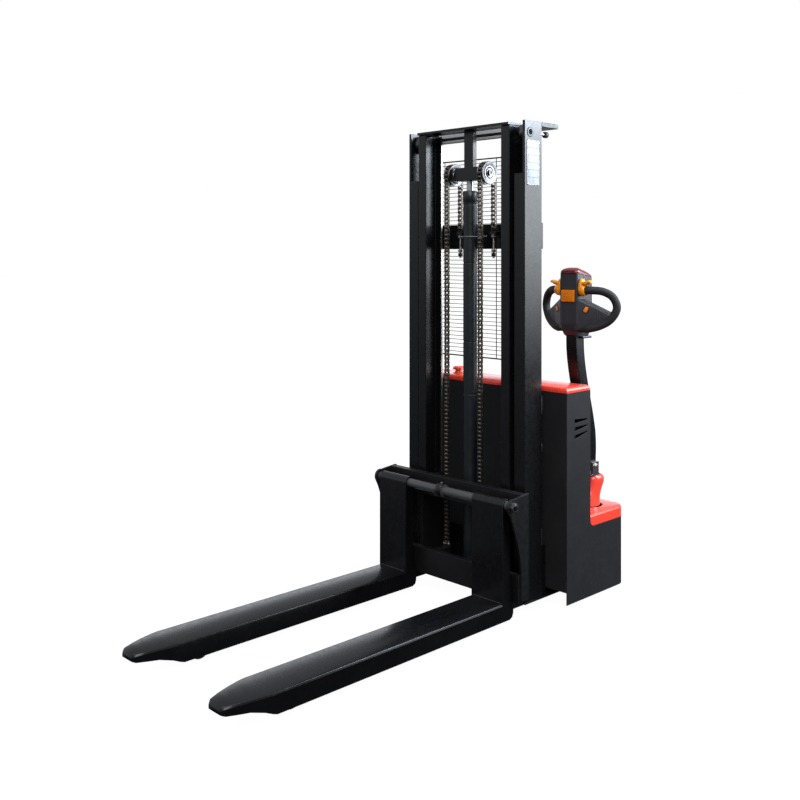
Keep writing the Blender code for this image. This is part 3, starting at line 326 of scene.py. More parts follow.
@dataclass(frozen=True)
class Finish:
    """A surface finish: colours that vary in patches, fine grain, and edges rounded and rubbed by use."""

    name: str
    colour: Colour
    variation: Colour
    roughness: tuple[float, float] = (0.35, 0.5)
    metallic: float = 0.0
    specular: float = 0.5
    patch: float = 6.0
    grain: float = 700.0
    grain_depth: float = 0.00006
    edge_radius: float = 0.0012
    edge_colour: Colour | None = None
    edge_share: float = 0.35
    stretch: tuple[float, float, float] = (1.0, 1.0, 1.0)
    coat: float = 0.0

    def material(self) -> bpy.types.Material:
        """The finish's node material, made once.

        Returns:
            The material of this name.
        """
        found = bpy.data.materials.get(self.name)
        if found:
            return found
        made = bpy.data.materials.new(self.name)
        made.use_nodes = True
        made.diffuse_color = (*self.colour, 1.0)
        tree = made.node_tree
        shader = tree.nodes["Principled BSDF"]
        shader.inputs["Metallic"].default_value = self.metallic
        shader.inputs["Specular IOR Level"].default_value = self.specular
        shader.inputs["Coat Weight"].default_value = self.coat
        shader.inputs["Coat Roughness"].default_value = 0.12
        place = tree.nodes.new("ShaderNodeTexCoord").outputs["Object"]
        spread = tree.nodes.new("ShaderNodeMapping")
        spread.inputs["Scale"].default_value = self.stretch
        tree.links.new(place, spread.inputs["Vector"])
        broad = self._noise(tree, spread.outputs["Vector"], self.patch, 4.0)
        middle = self._noise(tree, spread.outputs["Vector"], self.patch * 9, 3.0)
        fine = self._noise(tree, spread.outputs["Vector"], self.grain, 2.0)
        tone = self._mix(tree, self._ramp(tree, broad, 0.32, 0.68), self.colour, self.variation)
        edges, normal = self._edges(tree, middle)
        if self.edge_colour is not None:
            tone = self._mix(tree, edges, tone, self.edge_colour)
        tree.links.new(self.pattern(tree, place, tone), shader.inputs["Base Color"])
        rough = tree.nodes.new("ShaderNodeMapRange")
        rough.inputs["From Min"].default_value = 0.3
        rough.inputs["From Max"].default_value = 0.7
        rough.inputs["To Min"].default_value, rough.inputs["To Max"].default_value = self.roughness
        tree.links.new(middle, rough.inputs["Value"])
        tree.links.new(rough.outputs["Result"], shader.inputs["Roughness"])
        bump = tree.nodes.new("ShaderNodeBump")
        bump.inputs["Distance"].default_value = self.grain_depth
        tree.links.new(fine, bump.inputs["Height"])
        tree.links.new(normal, bump.inputs["Normal"])
        tree.links.new(bump.outputs["Normal"], shader.inputs["Normal"])
        return made

    def pattern(self, tree: bpy.types.NodeTree, place: bpy.types.NodeSocket,
                tone: bpy.types.NodeSocket) -> bpy.types.NodeSocket:
        """What else lies on the colour: nothing here, a print or a gauge in a finish built on this one."""
        return tone

    def _noise(self, tree: bpy.types.NodeTree, place: bpy.types.NodeSocket, scale: float,
               detail: float) -> bpy.types.NodeSocket:
        """A noise texture's value at that many features per metre.

        Args:
            tree: the material's node tree.
            place: the socket that gives the position.
            scale: features per metre.
            detail: how many finer layers are added.

        Returns:
            The noise's value.
        """
        noise = tree.nodes.new("ShaderNodeTexNoise")
        noise.inputs["Scale"].default_value = scale
        noise.inputs["Detail"].default_value = detail
        tree.links.new(place, noise.inputs["Vector"])
        return noise.outputs["Fac"]

    def _ramp(self, tree: bpy.types.NodeTree, value: bpy.types.NodeSocket, low: float,
              high: float) -> bpy.types.NodeSocket:
        """The value stretched from low..high to 0..1.

        Args:
            tree: the material's node tree.
            value: the value to stretch.
            low: what becomes 0.
            high: what becomes 1.

        Returns:
            The stretched value.
        """
        stretch = tree.nodes.new("ShaderNodeMapRange")
        stretch.inputs["From Min"].default_value = low
        stretch.inputs["From Max"].default_value = high
        tree.links.new(value, stretch.inputs["Value"])
        return stretch.outputs["Result"]

    def _mix(self, tree: bpy.types.NodeTree, share: bpy.types.NodeSocket,
             first: Colour | bpy.types.NodeSocket, second: Colour | bpy.types.NodeSocket
             ) -> bpy.types.NodeSocket:
        """Mix two colours, each a constant or a socket, by a share.

        Args:
            tree: the material's node tree.
            share: the share of the second colour.
            first: the first colour.
            second: the second colour.

        Returns:
            The mixed colour.
        """
        mix = tree.nodes.new("ShaderNodeMix")
        mix.data_type = "RGBA"
        tree.links.new(share, mix.inputs["Factor"])
        for value, socket in ((first, mix.inputs[6]), (second, mix.inputs[7])):
            if isinstance(value, tuple):
                socket.default_value = (*value, 1.0)
            else:
                tree.links.new(value, socket)
        return mix.outputs[2]

    def _edges(self, tree: bpy.types.NodeTree, breakup: bpy.types.NodeSocket
               ) -> tuple[bpy.types.NodeSocket, bpy.types.NodeSocket]:
        """The worn share along edges, and the normal that rounds them.

        The share is how far the rounded normal turns from the face's own, broken up by noise.

        Args:
            tree: the material's nodes.
            breakup: the noise that breaks the line of wear.

        Returns:
            The share's socket and the normal's socket.
        """
        rounding = tree.nodes.new("ShaderNodeBevel")
        rounding.samples = 4
        rounding.inputs["Radius"].default_value = self.edge_radius
        surface = tree.nodes.new("ShaderNodeNewGeometry")
        dot = tree.nodes.new("ShaderNodeVectorMath")
        dot.operation = "DOT_PRODUCT"
        tree.links.new(rounding.outputs["Normal"], dot.inputs[0])
        tree.links.new(surface.outputs["Normal"], dot.inputs[1])
        turn = tree.nodes.new("ShaderNodeMapRange")
        turn.inputs["From Min"].default_value = 0.995
        turn.inputs["From Max"].default_value = 0.80
        turn.inputs["To Max"].default_value = self.edge_share * 2
        tree.links.new(dot.outputs["Value"], turn.inputs["Value"])
        share = tree.nodes.new("ShaderNodeMath")
        share.operation = "MULTIPLY"
        share.use_clamp = True
        tree.links.new(turn.outputs["Result"], share.inputs[0])
        tree.links.new(breakup, share.inputs[1])
        return share.outputs["Value"], rounding.outputs["Normal"]


@dataclass(frozen=True)
class PrintedPlate(Finish):
    """A white data plate with pale grey outlines of blank fields, and no lettering."""

    centre: tuple[float, float, float] = (0.0, 0.0, 0.0)
    pitch: float = 0.0275

    def pattern(self, tree: bpy.types.NodeTree, place: bpy.types.NodeSocket,
                tone: bpy.types.NodeSocket) -> bpy.types.NodeSocket:
        """Outlines of blank fields: grey where the brick pattern's mortar falls.

        Args:
            tree: the material's nodes.
            place: the object coordinates.
            tone: the plain plate's colour.

        Returns:
            The printed colour's socket.
        """
        turn = tree.nodes.new("ShaderNodeSeparateXYZ")
        tree.links.new(place, turn.inputs["Vector"])
        flat = tree.nodes.new("ShaderNodeCombineXYZ")
        tree.links.new(turn.outputs["Y"], flat.inputs["X"])
        tree.links.new(turn.outputs["Z"], flat.inputs["Y"])
        shift = tree.nodes.new("ShaderNodeMapping")
        shift.inputs["Location"].default_value = (-self.centre[1], -self.centre[2], 0.0)
        tree.links.new(flat.outputs["Vector"], shift.inputs["Vector"])
        brick = tree.nodes.new("ShaderNodeTexBrick")
        brick.offset = 0.5
        brick.inputs["Scale"].default_value = 1.0
        brick.inputs["Brick Width"].default_value = 0.056
        brick.inputs["Row Height"].default_value = self.pitch
        brick.inputs["Mortar Size"].default_value = 0.0010
        brick.inputs["Mortar Smooth"].default_value = 0.3
        tree.links.new(shift.outputs["Vector"], brick.inputs["Vector"])
        return self._mix(tree, brick.outputs["Fac"], tone, (0.12, 0.125, 0.135))


POWDER = Finish("black_powder_coat", (0.0024, 0.0024, 0.0031), (0.0042, 0.0041, 0.0048), (0.24, 0.32),
                edge_colour=(0.040, 0.042, 0.048), edge_radius=0.0020, grain_depth=0.000008, edge_share=0.22,
                specular=0.45)
BLADE = Finish("smooth_black_blade_coat", (0.0022, 0.0022, 0.0028), (0.0038, 0.0038, 0.0046), (0.22, 0.30),
               edge_colour=(0.020, 0.024, 0.032), edge_radius=0.0008, grain_depth=0.000004, edge_share=0.10,
               specular=0.45)
SATIN = Finish("satin_black_plate", (0.0034, 0.0034, 0.0042), (0.0058, 0.0057, 0.0064), (0.34, 0.46),
               edge_colour=(0.060, 0.062, 0.068), edge_radius=0.0022, specular=0.45, grain_depth=0.00002,
               edge_share=0.25)
SHAFT = Finish("blackened_shaft_steel", (0.048, 0.048, 0.051), (0.064, 0.064, 0.068), (0.20, 0.30),
               edge_colour=(0.16, 0.16, 0.17), stretch=(0.2, 1.0, 1.0))
COVER = Finish("textured_sheet_cover", (0.0090, 0.0090, 0.0104), (0.0125, 0.0122, 0.0138), (0.54, 0.64),
               edge_colour=(0.065, 0.066, 0.072), edge_radius=0.0010, grain=900.0, specular=0.32)
BARREL = Finish("blue_black_enamel", (0.0060, 0.0090, 0.0115), (0.0100, 0.0135, 0.0165), (0.30, 0.42),
                edge_colour=(0.05, 0.055, 0.06), specular=0.5)
RED = Finish("orange_red_moulding", (0.92, 0.066, 0.038), (0.86, 0.056, 0.032), (0.22, 0.32),
             edge_colour=(0.90, 0.20, 0.14), grain=500.0, grain_depth=0.00001, edge_radius=0.0022, coat=0.7)
CAP_RED = Finish("dark_red_cap", (0.150, 0.008, 0.012), (0.115, 0.006, 0.009), (0.22, 0.32),
                 edge_colour=(0.30, 0.03, 0.04), grain=500.0, grain_depth=0.00003, coat=0.3)
# Pale paint for the strips on the top plate's lip: painted light standing for a lit face and a lit underside.
LIT_STRIP_PAINT = Finish("pale_strip_enamel", (0.50, 0.50, 0.51), (0.42, 0.42, 0.43), (0.5, 0.6), specular=0.3)
AMBER = Finish("amber_moulding", (0.92, 0.260, 0.004), (0.82, 0.215, 0.003), (0.30, 0.42), specular=0.35,
               edge_colour=(0.95, 0.42, 0.03), grain=600.0, grain_depth=0.00003)
LEVER = Finish("yellow_lever_moulding", (1.0, 0.360, 0.003), (0.94, 0.310, 0.003), (0.20, 0.30),
               edge_colour=(1.0, 0.52, 0.04), grain=600.0, grain_depth=0.00001, coat=0.5)
CHARCOAL = Finish("charcoal_moulding", (0.029, 0.028, 0.034), (0.038, 0.037, 0.044), (0.30, 0.42),
                  edge_colour=(0.085, 0.085, 0.095), grain=1100.0, grain_depth=0.00010)
FOAM = Finish("black_foam_grip", (0.012, 0.011, 0.012), (0.020, 0.018, 0.019), (0.62, 0.78),
              grain=1500.0, grain_depth=0.00022, specular=0.35)
STEEL = Finish("machined_steel", (0.60, 0.60, 0.62), (0.50, 0.50, 0.52), (0.20, 0.34), metallic=1.0,
               edge_colour=(0.82, 0.82, 0.84), stretch=(1.0, 1.0, 6.0), grain=900.0, grain_depth=0.00002)
ZINC = Finish("zinc_plated_steel", (0.46, 0.45, 0.42), (0.36, 0.35, 0.33), (0.30, 0.44), metallic=1.0,
              edge_colour=(0.68, 0.67, 0.64), patch=40.0)
LINKS = Finish("oiled_chain_steel", (0.085, 0.074, 0.062), (0.042, 0.037, 0.032), (0.30, 0.46),
               metallic=0.85, edge_colour=(0.36, 0.33, 0.28), edge_share=0.6, patch=60.0, edge_radius=0.0006)
PINS = Finish("bright_chain_pins", (0.34, 0.30, 0.25), (0.22, 0.19, 0.16), (0.26, 0.40), metallic=0.95,
              patch=70.0)
DARK_STEEL = Finish("oiled_bearing_steel", (0.16, 0.16, 0.17), (0.10, 0.10, 0.11), (0.24, 0.38), metallic=1.0,
                    edge_colour=(0.42, 0.42, 0.44), patch=50.0)
RUBBER = Finish("seal_rubber", (0.010, 0.010, 0.010), (0.016, 0.015, 0.015), (0.5, 0.66))
TREAD = Finish("polyurethane_tread", (0.060, 0.048, 0.040), (0.045, 0.036, 0.032), (0.5, 0.68),
               edge_colour=(0.10, 0.085, 0.075), patch=25.0)
CASTING = Finish("grey_casing_enamel", (0.16, 0.165, 0.17), (0.20, 0.205, 0.21), (0.42, 0.58),
                 edge_colour=(0.32, 0.33, 0.34), grain_depth=0.00012, grain=420.0)
BATTERY = Finish("battery_case_moulding", (0.055, 0.058, 0.064), (0.075, 0.078, 0.084), (0.5, 0.62),
                 edge_colour=(0.12, 0.12, 0.13))
# Near-black painted shade for holes and grooves, where shade falls.
RECESS_SHADE = Finish("dark_recess", (0.003, 0.003, 0.003), (0.005, 0.005, 0.005), (0.6, 0.8), specular=0.08)


# ---- pieces ---------------------------------------------------------------------------------
@dataclass
class Workshop:
    """Turns skins into pieces that ride on the frame, and dresses copies of the CAD nodes."""

    origin: Array
    pieces: list[bpy.types.Object] = field(default_factory=list)

    def piece(self, name: str, parts: Sequence[tuple[Iterable[Skin] | Skin, Finish]], body: str, slot: str,
              stands_for: Sequence[str] = (), sharp: float = 40.0) -> bpy.types.Object:
        """Make one piece from skins, each with its finish, given in the mast frame.

        Args:
            name: the piece's name.
            parts: skins, alone or in a group, with the finish they take.
            body: the CAD body that it rides on, or an empty string to leave that to the caller.
            slot: the record's material slot that its main finish belongs to; not used.
            stands_for: the CAD nodes that it is shown instead of.
            sharp: the least angle, in degrees, that stays a hard edge.

        Returns:
            The piece's object.
        """
        points, faces, looks, finishes = [], [], [], []
        start = 0
        for group, finish in parts:
            if finish not in finishes:
                finishes.append(finish)
            for skin in [group] if isinstance(group, Skin) else group:
                points.append(skin.points)
                faces += [tuple(v + start for v in face) for face in skin.faces]
                looks += [finishes.index(finish)] * len(skin.faces)
                start += len(skin.points)
        mesh = bpy.data.meshes.new(name)
        mesh.from_pydata((np.concatenate(points) + self.origin).tolist(), [], faces)
        for finish in finishes:
            mesh.materials.append(finish.material())
        mesh.polygons.foreach_set("material_index", looks)
        mesh.validate()
        mesh.shade_smooth()
        mesh.set_sharp_from_angle(angle=math.radians(sharp))
        made = bpy.data.objects.new(name, mesh)
        bpy.context.scene.collection.objects.link(made)
        return self._enter(made, body, stands_for)

    def box(self, node: str) -> NodeBox:
        """A CAD node's box in the object's own frame."""
        return NodeBox.of(node, self.origin)

    def dressed(self, node: str, finish: Finish, slot: str, width: float,
                segments: int = 2) -> bpy.types.Object:
        """Show a merged copy of a CAD node with its hard edges truly rounded.

        Args:
            node: the CAD node that the copy stands for.
            finish: its finish.
            slot: its material slot; not used.
            width: the width of the rounding.
            segments: how many facets the rounding has.

        Returns:
            The copy's object.
        """
        source = FRAME["nodes"][node]
        mesh = bpy.data.meshes.new(node + "_shell")
        work = bmesh.new()
        work.from_mesh(source.data)
        bmesh.ops.remove_doubles(work, verts=work.verts, dist=1e-5)
        bmesh.ops.dissolve_limit(work, angle_limit=math.radians(0.3), verts=work.verts, edges=work.edges)
        work.to_mesh(mesh)
        work.free()
        mesh.materials.clear()
        mesh.materials.append(finish.material())
        mesh.shade_smooth()
        mesh.set_sharp_from_angle(angle=math.radians(30))
        made = bpy.data.objects.new(node + "_shell", mesh)
        bpy.context.scene.collection.objects.link(made)
        rounding = made.modifiers.new("rounded_edges", "BEVEL")
        rounding.width = width
        rounding.segments = segments
        rounding.limit_method = "ANGLE"
        rounding.angle_limit = math.radians(32)
        rounding.use_clamp_overlap = True
        rounding.harden_normals = True
        return self._enter(made, source["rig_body"], (node,))

    def painted(self, node: str, finish: Finish) -> None:
        """Give a CAD node that stays its finish."""
        slots = FRAME["nodes"][node].material_slots
        for place in slots:
            place.material = finish.material()

    def _enter(self, made: bpy.types.Object, body: str, stands_for: Sequence[str]
               ) -> bpy.types.Object:
        """Tell the frame what the piece rides on and what it stands for.

        Args:
            made: the piece's object.
            body: the body that it rides on, or an empty string.
            stands_for: the CAD nodes that it is shown instead of.

        Returns:
            The same object.
        """
        if body:
            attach(made, body)
        if stands_for:
            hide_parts(*stands_for)
        self.pieces.append(made)
        LOG.info("%s on %s", made.name, body or "two bodies")
        return made


@dataclass(frozen=True)
class NodeBox:
    """A CAD node's box in the mast frame."""

    low: Array
    high: Array

    @classmethod
    def of(cls, node: str, origin: Array) -> "NodeBox":
        """Read a node's box and shift it into the mast frame."""
        low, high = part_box(node)
        return cls(np.array(low) - origin, np.array(high) - origin)

    @property
    def centre(self) -> Array:
        """The middle of the box."""
        return (self.low + self.high) / 2


@dataclass(frozen=True)
class HexFastener:
    """A hexagon head or nut with a washer and a domed or chamfered face."""

    across: float
    height: float
    washer: float = 0.0
    dome: float = 0.0

    def skins(self, centre: Sequence[float], axis: Axis, way: int) -> list[Skin]:
        """The fastener's surfaces, standing on a face.

        Args:
            centre: the point on the face.
            axis: the axis of the bolt.
            way: 1 if it stands up along the axis, -1 if it points down it.

        Returns:
            The washer's, the head's and the dome's skins.
        """
        centre = np.asarray(centre, float)
        step = np.zeros(3)
        step[axis.value] = way
        made = []
        base = 0.0
        if self.washer > 0:
            made.append(lathe([(self.washer, 0), (self.washer, way * 0.0016),
                               (self.washer * 0.96, way * 0.002)], centre, axis, 32))
            base = 0.002
        radius = self.across / math.sqrt(3)
        chamfer = 0.10 * self.across
        made.append(lathe([(radius, way * base), (radius, way * (base + self.height - chamfer * 0.5)),
                           (radius - chamfer, way * (base + self.height))], centre, axis, 6))
        if self.dome > 0:
            top = base + self.height
            angle = np.linspace(0, np.pi / 2, 7)[:-1]
            cap = [(float((radius - chamfer) * 0.9 * math.cos(a)),
                    float(way * (top + self.dome * math.sin(a)))) for a in angle]
            made.append(lathe([(cap[0][0], way * (top - 0.001))] + cap + [(0.0006, way * (top + self.dome))],
                              centre, axis, 28))
        return made


@dataclass
class Mast:
    """The fixed rails, crossbeam, guard, cylinder and what is fastened to them."""

    shop: Workshop
    rail_edge: float = 0.0032
    guard_wires: int = 48
    guard_half: float = 0.285
    guard_uprights: tuple[float, ...] = (-0.205, -0.074, 0.074, 0.205)
    wire_radius: float = 0.00125
    ring_heights: tuple[float, ...] = (0.800, 1.007, 1.317, 1.547)
    plate_low: tuple[float, float] = (0.0105, 1.609)
    plate_high: tuple[float, float] = (0.0845, 1.778)
    socket: tuple[float, float] = (0.031, 1.807)
    strap_height: float = 1.421

    def build(self) -> None:
        """Make every piece of the fixed mast."""
        origin = self.shop.origin
        self.rail = NodeBox.of("outer_rail_right", origin)
        self.beam = NodeBox.of("mid_crossbeam", origin)
        self.barrel = NodeBox.of("lift_cylinder", origin)
        for side in Side:
            self.shop.dressed(f"outer_rail_{side.word}", POWDER, "black_frame", self.rail_edge, 3)
            self.roller(side)
        self.shop.dressed("outer_top_plate", SATIN, "black_frame", 0.0025)
        self.shop.dressed("mid_crossbeam", POWDER, "black_frame", 0.0015)
        self.guard()
        self.cylinder()
        self.sockets()
        self.data_plate()
        self.anchors()
        self.stop_bolts()
        self.lip_strips()
        self.rail_tabs()

    def roller(self, side: Side) -> None:
        """A guide roller: steel rim, dark seals and a bright axle end.

        Args:
            side: which roller.
        """
        name = f"mast_roller_{side.word}"
        box = self.shop.box(name)
        make_roller(self.shop, name, box, name, 0.0103)

    def guard(self) -> None:
        """The wire guard: a bent border wire, close horizontal wires and a few uprights."""
        node = self.shop.box("mesh_guard")
        low, high = float(node.low[2]), float(node.high[2])
        y = float(node.centre[1])
        border, half = 0.0028, self.guard_half - 0.003
        corner = rounded_rect(half, (high - low) / 2 - 0.003, 0.018, 5, (0.0, (low + high) / 2))
        path = np.stack([corner[:, 0], np.full(len(corner), y), corner[:, 1]], 1)
        skins = [sweep(path, round_section(border, 10), closed=True)]
        heights = np.linspace(low + 0.003, high - 0.003, self.guard_wires + 2)[1:-1]
        across = np.linspace(-half, half, 25)
        sag = 0.0006 * np.cos(across / half * np.pi / 2)
        for number, z in enumerate(heights):
            bow = sag * (1 if number % 2 else -1)
            wire = np.stack([across, np.full(25, y - 0.0013), z + bow], 1)
            skins.append(sweep(wire, round_section(self.wire_radius, 8)))
        for x in self.guard_uprights:
            upright = np.array([(x, y + 0.0011, low + 0.002), (x, y + 0.0011, high - 0.002)])
            skins.append(sweep(upright, round_section(0.0017, 8)))
        for x in (-half + 0.012, half - 0.012):
            for z in (low + 0.011, high - 0.011):
                skins.append(block((x - 0.010, float(self.rail.high[1]) + 0.0004, z - 0.010),
                                   (x + 0.010, y + 0.001, z + 0.010), 0.001, Axis.Y, 0.004))
        self.shop.piece("guard_wires", [(skins, POWDER)], "truck", "black_frame", ("mesh_guard",))

    def cylinder(self) -> None:
        """The lift cylinder: foot, barrel with rolled grooves, gland nut, and a bright wire clip."""
        x, y = float(self.barrel.centre[0]), float(self.barrel.centre[1])
        low, top = float(self.barrel.low[2]), float(self.barrel.high[2])
        radius = 0.0275
        profile = [(radius + 0.012, low), (radius + 0.012, low + 0.017), (radius + 0.009, low + 0.020),
                   (radius, low + 0.020)]
        for z in self.ring_heights:
            profile += [(radius, z - 0.0030), (radius - 0.0016, z - 0.0022), (radius - 0.0016, z + 0.0022),
                        (radius, z + 0.0030)]
        profile += [(radius, top - 0.042), (radius + 0.0012, top - 0.040), (radius + 0.0012, top - 0.004),
                    (radius - 0.002, top), (0.0150, top), (0.0150, top - 0.03)]
        self.shop.piece("cylinder_barrel", [(lathe(profile, (x, y, 0), Axis.Z, 64), BARREL)], "truck",
                        "black_frame", ("lift_cylinder",))
        angle = np.linspace(0, 2 * np.pi, 40, endpoint=False)
        reach = radius + 0.0016
        loop = np.stack([x + reach * np.cos(angle), y + reach * np.sin(angle),
                         np.full(40, self.strap_height)], 1)
        stay = np.array([(x - 0.026, y - reach + 0.004, self.strap_height),
                         (x + 0.040, y - reach + 0.002, self.strap_height - 0.001),
                         (x + 0.104, y - reach + 0.010, self.strap_height)])
        clip = [sweep(loop, round_section(0.0016, 8), up=(0, 0, 1), closed=True),
                sweep(stay, round_section(0.0020, 8), up=(0, 0, 1))]
        self.shop.piece("cylinder_clip", [(clip, STEEL)], "truck", "bright_steel")

    def sockets(self) -> None:
        """Ends of the roller axles in the rails: a painted ring round a shallow countersunk middle; the
        middle and the thin groove round the ring are near-black, painted shade standing for the shade in the
        hole and the groove.
        """
        y, z = self.socket
        for side in Side:
            face = side.value * float(self.rail.high[0])
            out = side.value
            groove = lathe([(0.0176, out * 0.0002), (0.0188, out * 0.0002), (0.0188, out * 0.0007),
                            (0.0176, out * 0.0007)], (face, y, z), Axis.X, 40, closed=True)
            ring = lathe([(0.0102, out * 0.0002), (0.0172, out * 0.0002), (0.0176, out * 0.0011),
                          (0.0166, out * 0.0020), (0.0112, out * 0.0020), (0.0102, out * 0.0010)],
                         (face, y, z), Axis.X, 40, closed=True)
            middle = lathe([(0.0101, 0.0), (0.0101, out * 0.0006), (0.0060, out * 0.0006),
                            (0.0052, out * 0.0003)], (face, y, z), Axis.X, 32)
            # The groove and the middle take the near-black painted shade.
            self.shop.piece(f"axle_socket_{side.word}", [(ring, POWDER), ([groove, middle], RECESS_SHADE)], "truck",
                            "black_frame")

    def data_plate(self) -> None:
        """A blank data plate on the right rail's outer face, held by four drive pins."""
        face = float(self.rail.high[0])
        (y0, z0), (y1, z1) = self.plate_low, self.plate_high
        middle = ((y0 + y1) / 2, (z0 + z1) / 2)
        outline = rounded_rect((y1 - y0) / 2, (z1 - z0) / 2, 0.005, 5, middle)
        sheet = plate(outline, Axis.X, face + 0.0002, face + 0.0012, 0.0004, 2)
        centre = (face, *middle)
        finish = PrintedPlate("white_data_plate", (0.40, 0.42, 0.45), (0.36, 0.38, 0.41), (0.50, 0.60),
                              edge_colour=(0.42, 0.42, 0.44), specular=0.25,
                              centre=tuple(np.array(centre) + self.shop.origin))
        frame_line = sweep(np.stack([np.full(len(outline), face + 0.0012),
                                     middle[0] + (outline[:, 0] - middle[0]) * 0.93,
                                     middle[1] + (outline[:, 1] - middle[1]) * 0.97], 1),
                           round_section(0.0005, 6), up=(1, 0, 0), closed=True)
        pins = [lathe([(0.0024, 0.0008), (0.0024, 0.0016), (0.0012, 0.0024)], (face, y, z), Axis.X, 16)
                for y in (y0 + 0.006, y1 - 0.006) for z in (z0 + 0.006, z1 - 0.006)]
        self.shop.piece("data_plate", [(sheet, finish), (frame_line, ZINC), (pins, ZINC)], "truck",
                        "bright_steel")

    def anchors(self) -> None:
        """Threaded chain anchors that hang below their tabs on the crossbeam, with nuts."""
        chain = {side: self.shop.box(f"chain_rear_{side.word}") for side in Side}
        tab_low = float(chain[Side.LEFT].low[2]) - 0.0123
        back = self.shop.box("pulley_left")
        y = float(back.centre[1]) + 0.040
        for side in Side:
            x = float(chain[side].centre[0])
            turns = np.arange(0, 93)
            radius = 0.0048 + 0.0004 * np.cos(turns * np.pi)
            thread = [(float(r), -float(k) * 0.001) for r, k in zip(radius, turns)]
            bolt = lathe(thread, (x, y, tab_low - 0.0004), Axis.Z, 16)
            nut = HexFastener(0.017, 0.009, 0.0105)
            skins = nut.skins((x, y, tab_low - 0.0003), Axis.Z, -1)
            low_nut = nut.skins((x, y, tab_low - 0.058), Axis.Z, -1)
            jam = lathe([(0.0095, 0), (0.0095, -0.012), (0.007, -0.014)], (x, y, tab_low - 0.072), Axis.Z, 24)
            self.shop.piece(f"chain_anchor_{side.word}", [([bolt, *skins, *low_nut], ZINC), (jam, POWDER)],
                            "truck", "bright_steel")

    def stop_bolts(self) -> None:
        """Long bolts on the rails' backs: a nut, a thin bright shank and a round black buffer."""
        back = float(self.rail.high[1])
        for side in Side:
            x, z = side.value * 0.290, 1.806
            shank = lathe([(0.0042, 0.0010), (0.0046, 0.0016), (0.0046, 0.0370)], (x, back, z), Axis.Y, 20)
            nut = HexFastener(0.015, 0.007, 0.0100).skins((x, back + 0.0003, z), Axis.Y, 1)
            head = lathe([(0.0080, 0.0345), (0.0118, 0.0360), (0.0122, 0.0480), (0.0100, 0.0515),
                          (0.0020, 0.0530)], (x, back, z), Axis.Y, 28)
            self.shop.piece(f"stop_bolt_{side.word}", [([shank, *nut], ZINC), (head, RUBBER)], "truck",
                            "bright_steel")

    def lip_strips(self) -> None:
        """Two pale strips along the front of the top plate's lip: painted light, the upper one for the lip's
        lit front face and the lower one for the lit underside of a bar below it.
        """
        node = self.shop.box("outer_top_plate")
        front = float(node.low[1])
        skins = [block((-0.230, front - 0.0014, low), (0.230, front - 0.0003, high), 0.0004, Axis.Y, 0.001)
                 for low, high in ((1.8300, 1.8480), (1.8085, 1.8185))]
        # The strips' pale colour is painted light.
        self.shop.piece("lip_strips", [(skins, LIT_STRIP_PAINT)], "truck", "bright_steel")

    def rail_tabs(self) -> None:
        """Short keeper strips on the backs of the rails that the front cover is fixed to; their bright zinc
        colour is painted highlight for the light that the tabs' edges catch.
        """
        back = float(self.rail.high[1])
        for side in Side:
            skins = []
            for middle, tall in ((0.780, 0.070), (0.620, 0.036), (0.280, 0.060)):
                low_x, high_x = sorted((side.value * 0.2965, side.value * 0.3030))
                skins.append(block((low_x, back + 0.0004, middle - tall / 2),
                                   (high_x, back + 0.0070, middle + tall / 2), 0.0008, Axis.X, 0.002))
            # Zinc here is painted highlight for the tabs' lit edges.
            self.shop.piece(f"cover_tabs_{side.word}", [(skins, ZINC)], "truck", "bright_steel")


def make_roller(shop: Workshop, name: str, box: NodeBox, body: str, bore: float) -> None:
    """A guide roller: a crowned rim with two grooved faces, dark seals and bright inner rings.

    Args:
        shop: where pieces are made.
        name: the CAD node that it stands for.
        box: that node's box.
        body: the body that it turns with.
        bore: the radius of its hole.
    """
    half = float(box.high[0] - box.low[0]) / 2
    radius = float(box.high[2] - box.low[2]) / 2
    rim = [(radius - 0.011, -half), (radius - 0.002, -half), (radius - 0.0003, -half + 0.0018),
           (radius, -half + 0.004), (radius, half - 0.004), (radius - 0.0003, half - 0.0018),
           (radius - 0.002, half), (radius - 0.011, half)]
    seal = [(bore + 0.006, -half + 0.0012), (radius - 0.0108, -half + 0.0008),
            (radius - 0.0108, half - 0.0008), (bore + 0.006, half - 0.0012)]
    hub = [(bore, -half + 0.0002), (bore + 0.0062, -half + 0.0002), (bore + 0.0062, half - 0.0002),
           (bore, half - 0.0002)]
    parts = [(lathe(rim, box.centre, Axis.X, 56, closed=True), DARK_STEEL),
             (lathe(seal, box.centre, Axis.X, 40, closed=True), RUBBER),
             (lathe(hub, box.centre, Axis.X, 40, closed=True), STEEL)]
    shop.piece(name + "_bearing", parts, body, "bright_steel", (name,))


